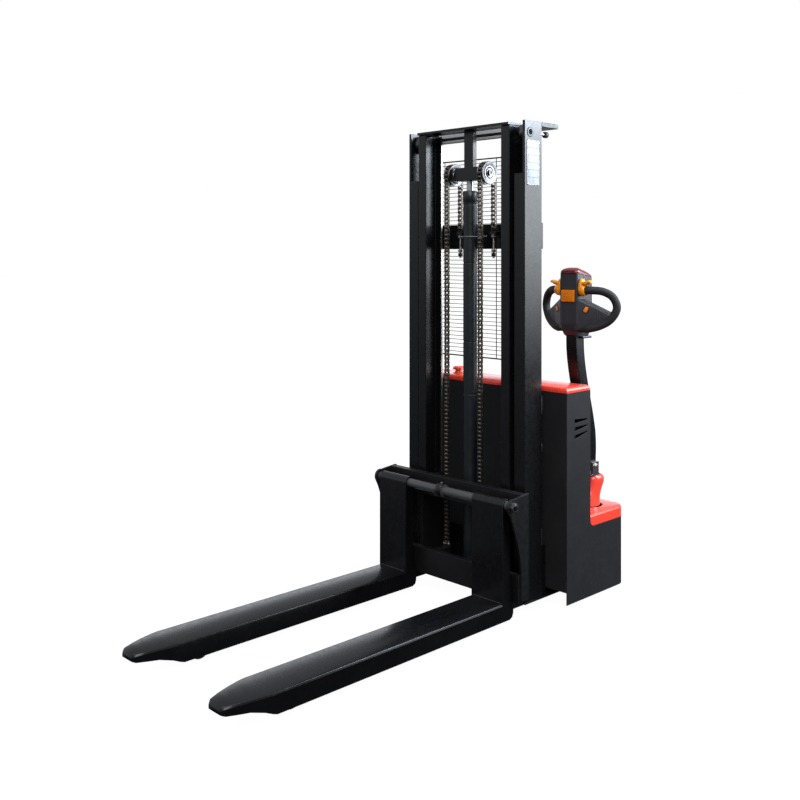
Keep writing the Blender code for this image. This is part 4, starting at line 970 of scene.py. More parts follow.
@dataclass
class LiftingMast:
    """The sliding inner mast with its crosshead, pulleys and the chains."""

    shop: Workshop
    travel: float = 1.25
    pitch: float = 0.015875
    plate_half: float = 0.0070
    plate_thick: float = 0.0017
    chain_half: float = 0.0098

    def build(self) -> None:
        """Make every piece of the inner mast."""
        for side in Side:
            self.shop.dressed(f"inner_rail_{side.word}", POWDER, "black_frame", 0.0032, 3)
            self.pulley(side)
            self.chain(side)
        self.shop.dressed("inner_top_frame", POWDER, "black_frame", 0.0022, 2)
        self.shop.dressed("inner_bottom_bar", POWDER, "black_frame", 0.002, 2)
        self.runners()
        rod = self.shop.box("piston_rod")
        radius = float(rod.high[0] - rod.low[0]) / 2
        low, top = float(rod.low[2]), float(rod.high[2])
        profile = [(radius - 0.002, low), (radius, low + 0.003), (radius, top - 0.010),
                   (radius - 0.001, top - 0.009), (radius - 0.001, top - 0.006), (radius, top - 0.005),
                   (radius, top)]
        skin = lathe(profile, (float(rod.centre[0]), float(rod.centre[1]), 0), Axis.Z, 56)
        self.shop.piece("rod_chrome", [(skin, STEEL)], "inner_mast", "bright_steel", ("piston_rod",))

    def runners(self) -> None:
        """Bright strips on the end faces of the inner rails' rear flanges: painted highlight for the light
        that those edge faces catch.
        """
        for side in Side:
            rail = self.shop.box(f"inner_rail_{side.word}")
            inner = float(min(abs(rail.low[0]), abs(rail.high[0])))
            low_x, high_x = sorted((side.value * (inner - 0.0012), side.value * (inner - 0.0002)))
            back = float(rail.high[1])
            strip = block((low_x, back - 0.0095, float(rail.low[2]) + 0.02), (high_x, back - 0.0010, 1.80),
                          0.0004, Axis.X, 0.001)
            # The strips' bright zinc colour is painted highlight.
            self.shop.piece(f"wear_line_{side.word}", [(strip, ZINC)], "inner_mast", "bright_steel")

    def pulley(self, side: Side) -> None:
        """A grooved pulley: bright lips, dark bearing seal, bright hub ring and washer.

        Args:
            side: which pulley.
        """
        name = f"pulley_{side.word}"
        box = self.shop.box(name)
        half = float(box.high[0] - box.low[0]) / 2
        radius = float(box.high[2] - box.low[2]) / 2
        groove, lip = radius - 0.0118, 0.0045
        rim = [(0.0290, -half + 0.0006), (0.0300, -half), (radius - 0.0012, -half), (radius, -half + 0.0012),
               (radius, -half + lip - 0.0012), (radius - 0.0012, -half + lip),
               (groove + 0.001, -half + lip + 0.0006), (groove, -half + lip + 0.002),
               (groove, half - lip - 0.002), (groove + 0.001, half - lip - 0.0006),
               (radius - 0.0012, half - lip), (radius, half - lip + 0.0012), (radius, half - 0.0012),
               (radius - 0.0012, half), (0.0300, half), (0.0290, half - 0.0006)]
        race = [(0.0240, -half + 0.0012), (0.0291, -half + 0.0008), (0.0291, half - 0.0008),
                (0.0240, half - 0.0012)]
        seal = [(0.0185, -half + 0.0020), (0.0239, -half + 0.0018), (0.0239, half - 0.0018),
                (0.0185, half - 0.0020)]
        hub = [(0.0123, -half + 0.0004), (0.0175, -half + 0.0002), (0.0187, -half + 0.0012),
               (0.0187, half - 0.0012), (0.0175, half - 0.0002), (0.0123, half - 0.0004)]
        parts = [(lathe(rim, box.centre, Axis.X, 72, closed=True), DARK_STEEL),
                 (lathe(race, box.centre, Axis.X, 56, closed=True), ZINC),
                 (lathe(seal, box.centre, Axis.X, 48, closed=True), RUBBER),
                 (lathe(hub, box.centre, Axis.X, 48, closed=True), ZINC)]
        self.shop.piece(name + "_sheave", parts, name, "bright_steel", (name,))
        face = side.value * half
        end = box.centre + np.array([face, 0, 0])
        out = side.value
        washer = [(0.0118, out * 0.0005), (0.0118, out * 0.0050), (0.0105, out * 0.0062),
                  (0.0060, out * 0.0062), (0.0048, out * 0.0052), (0.0004, out * 0.0052)]
        self.shop.piece(f"axle_end_{side.word}", [(lathe(washer, end, Axis.X, 32), ZINC)], "inner_mast",
                        "bright_steel")

    def link(self, outer: bool) -> list[tuple[Skin, Finish]]:
        """One pitch of roller chain about its own middle: two waisted plates, a roller and a pin.

        A plate's outline is two half circles about the pins, drawn in to a waist between them.

        Args:
            outer: True for the outside plates and False for the inside ones.

        Returns:
            The link's skins with their finishes.
        """
        arc = np.radians([-62, -20, 20, 62])
        reach = self.pitch / 2
        top = np.stack([self.plate_half * np.sin(arc), reach + self.plate_half * np.cos(arc)], 1)[::-1]
        waist = np.array([(0.75 * self.plate_half, 0.0)])
        bottom = -top
        outline = np.concatenate([top, -waist, bottom, waist])
        at = self.chain_half - self.plate_thick if outer else self.chain_half - 2.25 * self.plate_thick
        parts = []
        for way in (-1, 1):
            low, high = sorted((way * at, way * (at + self.plate_thick)))
            parts.append((plate(outline, Axis.X, low, high), LINKS))
        width = self.chain_half - 2.4 * self.plate_thick
        roller = lathe([(0.0051, -width), (0.0051, width)], (0, 0, reach), Axis.X, 10)
        pin_half = self.chain_half + 0.0002
        pin = lathe([(0.0024, -pin_half), (0.0024, pin_half)], (0, 0, reach), Axis.X, 8)
        parts += [(roller, PINS), (pin, PINS)]
        return parts

    def strand(self, name: str, centre: Array, rest: Array, kinds: Array, shrink: Array, body: str,
               stands_for: Sequence[str]) -> bpy.types.Object:
        """A straight run of links at given heights.

        Every link is the same points, scaled by its own shrink and lifted to its own height.

        Args:
            name: the piece's name.
            centre: the strand's (x, y).
            rest: each link's height.
            kinds: 1 for an outer link and 0 for an inner one.
            shrink: each link's scale.
            body: the body that it rides on, or an empty string.
            stands_for: the CAD nodes that it is shown instead of.

        Returns:
            The strand's object, whose points are grouped by finish, then by link.
        """
        groups: dict[Finish, list[Skin]] = {LINKS: [], PINS: []}
        templates = (self.link(False), self.link(True))
        for height, kind, scale in zip(rest, kinds, shrink):
            for skin, finish in templates[int(kind)]:
                points = skin.points * np.array([scale, scale, 1.0])
                groups[finish].append(Skin(points + np.array([centre[0], centre[1], height]), skin.faces))
        return self.shop.piece(name, [(skins, finish) for finish, skins in groups.items()], body,
                               "chain_steel", stands_for, 50.0)

    def share_out(self, piece: bpy.types.Object, rest: Array) -> None:
        """Bake the strand's placement into its points.

        Args:
            piece: the strand.
            rest: each link's height at rest, once per link; not used.
        """
        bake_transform(piece)
        count = len(self.link(False)[0][0].points), len(self.link(False)[2][0].points), \
            len(self.link(False)[3][0].points)

    def chain(self, side: Side) -> None:
        """The chain of one side: front strand, the turn over the pulley and the rear strand.

        The rear strand also carries the links for the travel, nested several to a place at rest. In the front
        strand, each link is shrunk by its rank among the links that would share one place once the mast had
        lifted by the travel. Nothing here moves the links as the mast lifts, and the strands ride on no body.

        Args:
            side: which chain.
        """
        front = self.shop.box(f"chain_front_{side.word}")
        rear = self.shop.box(f"chain_rear_{side.word}")
        pulley = self.shop.box(f"pulley_{side.word}")
        x, y = float(front.centre[0]), float(front.centre[1])
        low, high = float(front.low[2]), float(front.high[2])
        count = round((high - low) / self.pitch)
        step = (high - low) / count
        number = np.arange(count)
        rest = low + step * (number + 0.5)
        lifted = low + step * (np.floor(number * (1 - self.travel / (high - low))) + 0.5)
        group = number - np.searchsorted(lifted, lifted)
        strand = self.strand(f"chain_strand_{side.word}", (x, y), rest, number % 2,
                             1 - 0.004 * group, "", (f"chain_front_{side.word}",))
        self.share_out(strand, rest)
        back = 2 * float(pulley.centre[1]) - y
        foot = float(rear.low[2])
        gap = high - foot
        many = round((gap + self.travel) / self.pitch)
        step_back = (gap + self.travel) / many
        number = np.arange(many)
        few = round(gap / self.pitch)
        place = np.floor(number * few / many)
        rest_back = foot + gap / few * (place + 0.5)
        lifted = foot + step_back * (number + 0.5)
        group = number - np.searchsorted(place, place)
        tail = self.strand(f"chain_tail_{side.word}", (x, back), rest_back, place % 2, 1 - 0.006 * group,
                           "", (f"chain_rear_{side.word}",))
        self.share_out(tail, rest_back)
        self.turn_over(side, x, float(pulley.centre[1]) - y, pulley.centre)

    def turn_over(self, side: Side, x: float, radius: float, centre: Array) -> None:
        """The links that lie round the top half of the pulley.

        A link's points (x, s, t) go to x, radius r = R + s and angle t / R past the link's own.

        Args:
            side: which chain.
            x: the chain's middle.
            radius: the radius of the chain's centreline.
            centre: the pulley's centre.
        """
        many = 8
        groups: dict[Finish, list[Skin]] = {LINKS: [], PINS: []}
        for number in range(many):
            middle = math.pi - (number + 0.5) * math.pi / many
            for skin, finish in self.link(number % 2 == 1):
                reach = radius - skin.points[:, 1]
                angle = middle - skin.points[:, 2] / radius
                points = np.stack([x + skin.points[:, 0], centre[1] + reach * np.cos(angle),
                                   centre[2] + reach * np.sin(angle)], 1)
                groups[finish].append(Skin(points, skin.faces).outward())
        self.shop.piece(f"chain_turn_{side.word}", [(skins, finish) for finish, skins in groups.items()],
                        "inner_mast", "chain_steel", (), 50.0)


@dataclass
class Carriage:
    """The fork carriage, its shaft and the two forks."""

    shop: Workshop
    bead: float = 0.0032

    def build(self) -> None:
        """Make every piece of the carriage."""
        self.shop.dressed("carriage_frame", SATIN, "black_frame", 0.0026, 3)
        for side in Side:
            self.shop.dressed(f"fork_{side.word}", BLADE, "black_frame", 0.0040, 3)
            name = f"carriage_roller_{side.word}"
            box = self.shop.box(name)
            make_roller(self.shop, name, box, name, 0.0103)
            self.welds(side)
            self.shaft_bolt(side)
            self.chain_clevis(side)
        self.shop.dressed("fork_shaft", SHAFT, "black_frame", 0.0012, 2)
        self.collar_screw()

    def welds(self, side: Side) -> None:
        """A rippled weld bead where the blade meets the shank.

        The bead's radius is b (1 + 0.12 sin of eight turns per centimetre) along the joint.

        Args:
            side: which fork.
        """
        fork = self.shop.box(f"fork_{side.word}")
        leg = self.shop.box(f"leg_{side.word}")
        middle, half = float(fork.centre[0]), float(fork.high[0] - fork.low[0]) / 2
        shaft = self.shop.box("fork_shaft")
        front = float(shaft.centre[1]) - 0.0237
        blade_top = float(leg.high[2]) + 0.010
        along = np.linspace(-half + 0.005, half - 0.005, 90)
        path = np.stack([middle + along, np.full(90, front - 0.0008), np.full(90, blade_top + 0.0008)], 1)
        ripple = self.bead * (1 + 0.12 * np.sin(along * 2 * np.pi * 300))
        section = round_section(1.0, 10)[None] * ripple[:, None, None]
        self.shop.piece(f"heel_weld_{side.word}", [(sweep(path, section, up=(0, 0, 1)), POWDER)],
                        f"fork_{side.word}", "black_frame")

    def shaft_bolt(self, side: Side) -> None:
        """A domed bolt head with a washer on the end of the fork shaft.

        Args:
            side: which end of the shaft.
        """
        shaft = self.shop.box("fork_shaft")
        end = float(shaft.high[0] if side is Side.RIGHT else shaft.low[0])
        out = side.value
        centre = (end, float(shaft.centre[1]), float(shaft.centre[2]))
        dome = lathe([(0.0125, -out * 0.001), (0.0125, out * 0.0005), (0.0108, out * 0.0022),
                      (0.0070, out * 0.0034), (0.0030, out * 0.0039)], centre, Axis.X, 32)
        self.shop.piece(f"shaft_cap_{side.word}", [(dome, POWDER)], "carriage", "black_frame")

    def collar_screw(self) -> None:
        """The clamping screw in the shaft's middle collar."""
        shaft = self.shop.box("fork_shaft")
        x, y, z = 0.0, float(shaft.centre[1]), float(shaft.centre[2])
        head = lathe([(0.0048, 0.0262), (0.0048, 0.0305), (0.0040, 0.0315), (0.0024, 0.0315),
                      (0.0024, 0.0290)], (x, y, z), Axis.Z, 20)
        band = lathe([(0.0200, -0.0146), (0.0268, -0.0152), (0.0276, -0.0142), (0.0276, 0.0142),
                      (0.0268, 0.0152), (0.0200, 0.0146)], (x, y, z), Axis.X, 56, closed=True)
        self.shop.piece("collar_band", [(band, POWDER), (head, DARK_STEEL)], "carriage", "black_frame")

    def chain_clevis(self, side: Side) -> None:
        """The pin and cheeks that hold the chain's lower end on the carriage.

        Args:
            side: which chain.
        """
        front = self.shop.box(f"chain_front_{side.word}")
        x, y, z = float(front.centre[0]), float(front.centre[1]), float(front.low[2])
        pin = lathe([(0.0040, -0.0150), (0.0045, -0.0145), (0.0045, 0.0145), (0.0040, 0.0150)],
                    (x, y, z + 0.008), Axis.X, 20)
        skins = [pin]
        for way in (-1, 1):
            low, high = sorted((x + way * 0.0106, x + way * 0.0136))
            skins.append(block((low, y - 0.0075, z - 0.0005), (high, y + 0.0075, z + 0.016),
                               0.0008, Axis.X, 0.006))
        self.shop.piece(f"chain_clevis_{side.word}", [(skins, ZINC)], "carriage", "bright_steel")


@dataclass
class Chassis:
    """The base, covers, drive, caster and what shows on the housing."""

    shop: Workshop

    def build(self) -> None:
        """Make every piece of the chassis."""
        shop = self.shop
        shop.dressed("base_frame", POWDER, "black_frame", 0.0015)
        for side in Side:
            shop.dressed(f"side_cover_{side.word}", COVER, "black_cover", 0.0008)
            shop.dressed(f"leg_{side.word}", POWDER, "black_frame", 0.0018)
            shop.dressed(f"battery_{side.word}", BATTERY, "battery_case", 0.003)
            self.wheel(f"load_wheel_{side.word}", 0.0103, 0.010)
        for node in ("front_cover", "operator_panel", "rear_cover"):
            shop.dressed(node, COVER, "black_cover", 0.0008)
        for node in ("top_cover", "deck_cover"):
            shop.dressed(node, RED, "red_cover", 0.0016, 3)
        shop.dressed("hydraulic_unit", CASTING, "grey_casing", 0.004)
        shop.dressed("motor_controller", CASTING, "grey_casing", 0.002)
        shop.dressed("drive_gearbox", CASTING, "grey_casing", 0.004)
        shop.dressed("caster_fork", STEEL, "bright_steel", 0.0012)
        shop.painted("drive_motor", POWDER)
        self.wheel("drive_wheel", 0.0125, 0.016)
        self.wheel("caster_wheel", 0.0085, 0.010)
        self.knob()
        self.key()
        self.gauge()
        self.cover_screws()

    def wheel(self, name: str, bore: float, tyre: float) -> None:
        """A wheel: a soft tyre with rounded shoulders on a steel core with a recessed web.

        Args:
            name: the CAD node that it stands for.
            bore: the radius of its hole.
            tyre: the thickness of its tyre.
        """
        box = self.shop.box(name)
        half = float(box.high[0] - box.low[0]) / 2
        radius = float(box.high[2] - box.low[2]) / 2
        core = radius - tyre
        angle = np.linspace(0, np.pi / 2, 5)
        shoulder = 0.004
        rim = [(core, -half), *[(radius - shoulder + shoulder * float(math.sin(a)),
                                 -half + shoulder - shoulder * float(math.cos(a))) for a in angle],
               *[(radius - shoulder + shoulder * float(math.cos(a)),
                  half - shoulder + shoulder * float(math.sin(a))) for a in angle], (core, half)]
        hub = bore + 0.006
        web = [(bore, -half), (hub, -half), (hub + 0.001, -half + 0.004), (core - 0.005, -half + 0.004),
               (core - 0.004, -half + 0.0006), (core + 0.0004, -half + 0.0006),
               (core + 0.0004, half - 0.0006), (core - 0.004, half - 0.0006), (core - 0.005, half - 0.004),
               (hub + 0.001, half - 0.004), (hub, half), (bore, half)]
        parts = [(lathe(rim, box.centre, Axis.X, 72, closed=True), TREAD),
                 (lathe(web, box.centre, Axis.X, 56, closed=True), CASTING)]
        self.shop.piece(name + "_tyre", parts, name, "tread", (name,))

    def knob(self) -> None:
        """The emergency switch: a red mushroom on a collar."""
        box = self.shop.box("stop_knob")
        x, y = float(box.centre[0]), float(box.centre[1])
        low, top = float(box.low[2]), float(box.high[2])
        cover = self.shop.box("top_cover")
        deck = float(cover.high[2])
        angle = np.linspace(0, np.pi / 2, 8)
        radius = float(box.high[0] - box.low[0]) / 2
        crown = [(0.0115 + (radius - 0.0115) * float(math.cos(a)), top - 0.010 + 0.010 * float(math.sin(a)))
                 for a in angle]
        profile = [(0.0078, low), (0.0078, deck + 0.0056), (0.0150, deck + 0.0056), (0.0165, deck + 0.0070),
                   (0.0150, deck + 0.0100), (0.0135, deck + 0.0145), (0.0190, deck + 0.0160),
                   (radius - 0.0006, deck + 0.0175), *crown, (0.004, top - 0.0002)]
        collar = [(0.0174, deck + 0.0003), (0.0228, deck + 0.0003), (0.0228, deck + 0.0030),
                  (0.0216, deck + 0.0042), (0.0174, deck + 0.0042)]
        self.shop.piece("stop_mushroom", [(lathe(profile, (x, y, 0), Axis.Z, 56), RED)], "stop_knob",
                        "red_cover", ("stop_knob",))
        self.shop.piece("stop_collar", [(lathe(collar, (x, y, 0), Axis.Z, 48, closed=True), AMBER)], "truck",
                        "amber")

    def key(self) -> None:
        """The key switch's escutcheon, and the key with its bow."""
        box = self.shop.box("key_switch")
        panel = self.shop.box("operator_panel")
        x, z = float(box.centre[0]), float(box.centre[2])
        face = float(panel.high[1])
        barrel = lathe([(0.0083, face - 0.018), (0.0083, face + 0.0006), (0.0125, face + 0.0006),
                        (0.0135, face + 0.002), (0.0125, face + 0.0075), (0.0110, face + 0.0085),
                        (0.0030, face + 0.0085)], (x, 0, z), Axis.Y, 40)
        blade = block((x - 0.0012, face + 0.006, z - 0.0038), (x + 0.0012, face + 0.018, z + 0.0038),
                      0.0004, Axis.X, 0.001)
        bow = block((x - 0.0015, face + 0.0175, z - 0.0118), (x + 0.0015, face + 0.0338, z + 0.0118), 0.0007,
                    Axis.X, 0.0075, 6)
        self.shop.piece("key_and_lock", [(barrel, ZINC), (blade, STEEL), (bow, RUBBER)], "key_switch",
                        "bright_steel", ("key_switch",))

    def gauge(self) -> None:
        """A charge gauge beside the key: bezel, dark window and a row of lamps."""
        panel = self.shop.box("operator_panel")
        face = float(panel.high[1])
        x, z = 0.02, 0.700
        bezel = block((x - 0.038, face - 0.0002, z - 0.022), (x + 0.038, face + 0.0042, z + 0.022),
                      0.0015, Axis.Y, 0.006)
        window = block((x - 0.031, face + 0.0038, z - 0.015), (x + 0.031, face + 0.0048, z + 0.015), 0.0003,
                       Axis.Y, 0.003)
        lamps = [lathe([(0.0022, face + 0.0046), (0.0022, face + 0.0052), (0.0012, face + 0.0058)],
                       (x - 0.0225 + 0.009 * i, 0, z), Axis.Y, 16) for i in range(6)]
        looks = [(bezel, CHARCOAL), (window, RUBBER), (lamps[:2], RED), (lamps[2:], AMBER)]
        self.shop.piece("charge_gauge", looks, "truck", "charcoal_casing")

    def cover_screws(self) -> None:
        """Button-head screws that hold the operator panel and the rear cover."""
        panel = self.shop.box("operator_panel")
        face = float(panel.high[1])
        skins = []
        for x in (-0.350, 0.350):
            for z in (0.400, 0.600, 0.790):
                skins += button_screw((x, face, z), Axis.Y, 1)
        rear = self.shop.box("rear_cover")
        back = float(rear.high[1])
        for x in (-0.120, 0.120):
            bulge = 0.016 * (x / 0.385) ** 2
            for z in (0.070, 0.270):
                skins += button_screw((x, back - bulge - 0.0020, z), Axis.Y, 1)
        self.shop.piece("cover_screws", [(skins, ZINC)], "truck", "bright_steel")


def button_screw(centre: Sequence[float], axis: Axis, way: int) -> list[Skin]:
    """A low domed screw head with a hexagon socket.

    Args:
        centre: the point on the face.
        axis: the screw's axis.
        way: 1 if it stands up along the axis, -1 if it points down it.

    Returns:
        The head's skins.
    """
    radius = 0.0062
    angle = np.linspace(0.15, np.pi / 2, 6)
    dome = [(radius * math.cos(a), way * (0.0004 + 0.0030 * math.sin(a))) for a in angle[:-1]]
    profile = [(radius, 0.0), *dome, (0.0026, way * 0.0032), (0.0026, way * 0.0016)]
    return [lathe(profile, centre, axis, 24)]


@dataclass
class Tiller:
    """The steering fairing, bracket, tiller arm and operating head."""

    shop: Workshop
    grip_radius: float = 0.0158
    grip_sides: int = 28
    head_half: float = 0.0425
    head_depth: float = 0.106
    grip_rise: float = 0.182
    grip_reach: float = 0.169
    button_rise: float = 0.159
    rib_pitch: float = 0.0078
    wing_sweep: float = 0.55
    wing_thick: float = 0.040
    arm_depth: tuple[float, float] = (0.023, 0.030)
    slope: float = 0.017
    slope_rise: float = 0.050

    def build(self) -> None:
        """Make every piece of the tiller."""
        origin = self.shop.origin
        self.cap_box = NodeBox.of("head_cap", origin)
        self.arm_box = NodeBox.of("tiller_arm", origin)
        self.x = float(self.cap_box.centre[0])
        self.y = float(self.cap_box.centre[1])
        self.bottom = float(self.arm_box.high[2]) + 0.0003
        self.top = float(self.cap_box.low[2]) - 0.0003
        self.grip_y = self.y - 0.030
        self.wing_front = self.y - self.head_depth / 2 + 0.006
        self.fairing()
        self.shop.dressed("tiller_bracket", STEEL, "bright_steel", 0.0012)
        self.pin_and_cap()
        self.arm()
        self.casing()
        self.cap()
        self.belly()
        for side in Side:
            self.grip(side)
            self.lever(side)
            self.finger_button(side)

    def fairing(self) -> None:
        """The moulded hood over the steering column, bulging to the back at its head."""
        box = self.shop.box("steering_fairing")
        low, high = float(box.low[2]), float(box.high[2])
        pivot = self.shop.box("drive_wheel")
        x, y = self.x, float(pivot.centre[1])
        corners = [(0.00, 0.048, 0.000), (0.10, 0.0465, 0.002), (0.25, 0.0445, 0.006), (0.45, 0.0440, 0.014),
                   (0.62, 0.0460, 0.022), (0.76, 0.0480, 0.0275), (0.88, 0.0470, 0.0290),
                   (0.95, 0.0420, 0.0280), (0.985, 0.0360, 0.0265), (1.0, 0.0290, 0.0250)]
        share, radius, back = smooth_path(corners, 5).T
        angle = np.arange(56) * 2 * np.pi / 56
        squash = 1 - 0.06 * np.cos(2 * angle)
        ring_x = x + radius[:, None] * np.cos(angle) * squash
        ring_y = y + back[:, None] + radius[:, None] * np.sin(angle)
        ring_z = np.broadcast_to((low + (high - low) * share)[:, None], ring_x.shape)
        hood = loft(np.stack([ring_x, ring_y, ring_z], -1))
        self.shop.piece("column_hood", [(hood, RED)], "steering", "red_cover", ("steering_fairing",))
        deck = self.shop.box("deck_cover")
        well = lathe([(0.0492, float(deck.low[2]) + 0.002), (0.0575, float(deck.low[2]) + 0.002),
                      (0.0575, float(deck.high[2]) - 0.002), (0.0545, float(deck.high[2]) - 0.004),
                      (0.0530, float(deck.low[2]) + 0.008)], (x, y, 0), Axis.Z, 56, closed=True)
        self.shop.piece("column_boot", [(well, RUBBER)], "truck", "black_cover")

    def pin_and_cap(self) -> None:
        """The hexagon heads on both ends of the tiller's pivot pin."""
        bracket = self.shop.box("tiller_bracket")
        y = float(self.shop.box("drive_wheel").centre[1])
        z = float(bracket.high[2]) - 0.016
        skins = []
        for way, end in ((-1, float(bracket.low[0])), (1, float(bracket.high[0]))):
            skins += HexFastener(0.016, 0.005, 0.0105).skins((end, y, z), Axis.X, way)
        self.shop.piece("pivot_heads", [(skins, ZINC)], "steering", "bright_steel")

    def arm(self) -> None:
        """The curved arm: a rectangular tube with round corners, carried up a smooth S.

        The centreline's set-back falls by lean (3 s^2 - 2 s^3), with s the share of the way up, and the
        tube grows deeper over its lowest stretch.
        """
        low, high = float(self.arm_box.low[2]), float(self.arm_box.high[2])
        pivot = float(self.shop.box("drive_wheel").centre[1])
        lean = pivot - float(self.arm_box.low[1]) - self.arm_depth[1]
        z = np.linspace(low, high, 60)
        share = np.clip((z - 0.550) / (1.010 - 0.550), 0, 1)
        y = pivot - lean * share ** 2 * (3 - 2 * share)
        depth = np.interp(z, [0.520, 0.640], self.arm_depth)
        outline = rounded_rect(0.025, 1.0, 0.0075, 5)
        across = np.sign(outline[:, 1]) * (np.abs(outline[:, 1]) - 1.0)
        rings = np.empty((60, len(outline), 3))
        rings[..., 0] = self.x + outline[:, 0]
        rings[..., 1] = y[:, None] + across + np.sign(outline[:, 1]) * depth[:, None]
        rings[..., 2] = z[:, None]
        self.shop.piece("arm_tube", [(loft(rings), POWDER)], "tiller", "black_frame", ("tiller_arm",))
        under = []
        for way in (-1, 1):
            x = self.x + way * 0.034
            under.append(lathe([(0.0055, 0), (0.0055, -0.006), (0.0035, -0.009)],
                               (x, self.y + 0.030, self.bottom - 0.0003), Axis.Z, 20))
        under.append(block((self.x + 0.0275, self.y - 0.012, self.bottom - 0.009),
                           (self.x + 0.0420, self.y + 0.046, self.bottom - 0.0003), 0.0015))
        self.shop.piece("head_clamp", [(under, DARK_STEEL)], "tiller", "bright_steel")

    def wing(self, side: Side) -> list[Skin]:
        """A ribbed wing between the column and the grip's lower run.

        Sections stand along X. Each is a rounded slab from a lower to an upper edge line, and its front and
        back are drawn in by narrow grooves at an even pitch.

        Args:
            side: which wing.

        Returns:
            The wing's body and the fluted strip along its upper edge.
        """
        many = 110
        out = np.linspace(0.030, 0.156, many)
        lower = np.interp(out, [0.030, 0.060, 0.115, 0.148, 0.156], [0.026, 0.031, 0.047, 0.066, 0.079])
        upper = np.interp(out, [0.030, 0.156], [0.1555, 0.0862])
        middle, half = (lower + upper) / 2, np.maximum((upper - lower) / 2, 0.002)
        fade = np.clip((out - 0.082) / 0.006, 0, 1)
        groove = 0.0016 * fade * (np.mod(out, self.rib_pitch) < self.rib_pitch * 0.24)
        depth = self.wing_thick / 2 - groove
        corner = np.minimum(half * 0.9, 0.0060)
        angle = np.linspace(0, np.pi / 2, 6)
        rings = []
        for quarter, (a, b) in enumerate(((1, 1), (-1, 1), (-1, -1), (1, -1))):
            turn = angle + quarter * np.pi / 2
            y = a * (depth - corner)[:, None] + corner[:, None] * np.cos(turn)
            z = b * (half - corner)[:, None] + corner[:, None] * np.sin(turn)
            rings.append(np.stack([np.broadcast_to(out[:, None], y.shape), y, z], -1))
        shape = np.concatenate(rings, axis=1)
        shape[..., 2] += middle[:, None]
        place = np.array([self.x, self.wing_front + self.wing_thick / 2, self.bottom])
        body = loft(shape * np.array([side.value, 1, 1]) + place)
        strips = []
        for number in range(4):
            y = -0.0150 + number * 0.010
            path = np.array([(0.047, y, 0.1464), (0.095, y, 0.1200), (0.150, y, 0.0898)])
            path = path * np.array([side.value, 1, 1]) + place
            strips.append(sweep(path, round_section(0.0016, 8)))
        return [self.swept(skin) for skin in (body, *strips)]

    def swept(self, skin: Skin) -> Skin:
        """Set a skin back in proportion to its distance outwards from the side of the head.

        Y grows by the sweep times |x - head middle| less the head's half width.

        Args:
            skin: a skin beside the head.

        Returns:
            The sheared skin.
        """
        points = skin.points.copy()
        points[:, 1] += self.wing_sweep * (np.abs(points[:, 0] - self.x) - self.head_half)
        return Skin(points, skin.faces)

    def casing(self) -> None:
        """The head's column: a tapering shell with a chin, front panel lines and the two wings."""
        corners = [(0.000, 0.74, 0.70, 0.004), (0.008, 0.80, 0.80, 0.002), (0.022, 0.86, 0.88, 0.0),
                   (0.040, 0.97, 0.97, 0.0), (0.060, 1.0, 1.0, 0.0), (0.150, 1.0, 1.0, 0.0),
                   (0.205, 1.0, 0.985, 0.0), (0.240, 0.985, 0.960, 0.0)]
        rise, wide, deep, shift = smooth_path(corners, 6).T
        height = self.top - self.bottom
        rise = np.clip(rise / 0.240 * height, 0, height)
        outline = rounded_rect(1.0, 1.0, 0.16, 5)
        rings = np.empty((len(rise), len(outline), 3))
        rings[..., 0] = self.x + self.head_half * wide[:, None] * outline[:, 0]
        rings[..., 1] = self.y + shift[:, None] + self.head_depth / 2 * deep[:, None] * outline[:, 1]
        rings[..., 2] = self.bottom + rise[:, None]
        column = self.sloped(loft(rings))
        wings = self.wing(Side.LEFT) + self.wing(Side.RIGHT)
        front = self.y - self.head_depth / 2
        back = self.y + self.head_depth / 2
        frame_z = self.bottom + self.button_rise
        bezel_path = rounded_rect(0.0330, 0.0252, 0.004, 4, (self.x, frame_z))
        path = np.insert(bezel_path, 1, front + 0.0004, axis=1)
        bezel = sweep(path, round_section(0.0013, 8), closed=True)
        display = block((self.x - 0.024, back - 0.001, self.bottom + 0.165),
                        (self.x + 0.024, back + 0.0022, self.bottom + 0.200), 0.0012, Axis.Y, 0.004)
        horn = lathe([(0.011, back - 0.002), (0.011, back + 0.003), (0.008, back + 0.0045),
                      (0.002, back + 0.005)],
                     (self.x, 0, self.bottom + 0.120), Axis.Y, 32)
        seams = []
        for way in (-1, 1):
            seam = np.array([(self.x + way * (self.head_half + 0.0002), self.y - 0.006 + shift_y, z)
                             for shift_y, z in ((0.0, self.top - 0.002), (0.001, self.top - 0.020),
                                                (0.006, self.top - 0.040))])
            seams.append(sweep(smooth_path(seam, 6), round_section(0.0009, 6)))
        self.shop.piece("head_shell", [([column, *wings, bezel], CHARCOAL), (seams, STEEL), (display, RUBBER),
                                       (horn, RED)],
                        "tiller", "charcoal_casing", ("head_casing",))

    def sloped(self, skin: Skin) -> Skin:
        """Let the top of the head fall towards its back.

        Z drops by the slope times the share of the way from the middle to the back, and times the share of
        the way up the topmost stretch.

        Args:
            skin: the column or the cap.

        Returns:
            The skin with its top sloped.
        """
        points = skin.points.copy()
        behind = np.clip((points[:, 1] - self.y + 0.020) / (self.head_depth / 2 + 0.020), 0, 1)
        above = np.clip((points[:, 2] - self.top + self.slope_rise) / self.slope_rise, 0, 1)
        points[:, 2] -= self.slope * behind ** 1.2 * above
        return Skin(points, skin.faces)

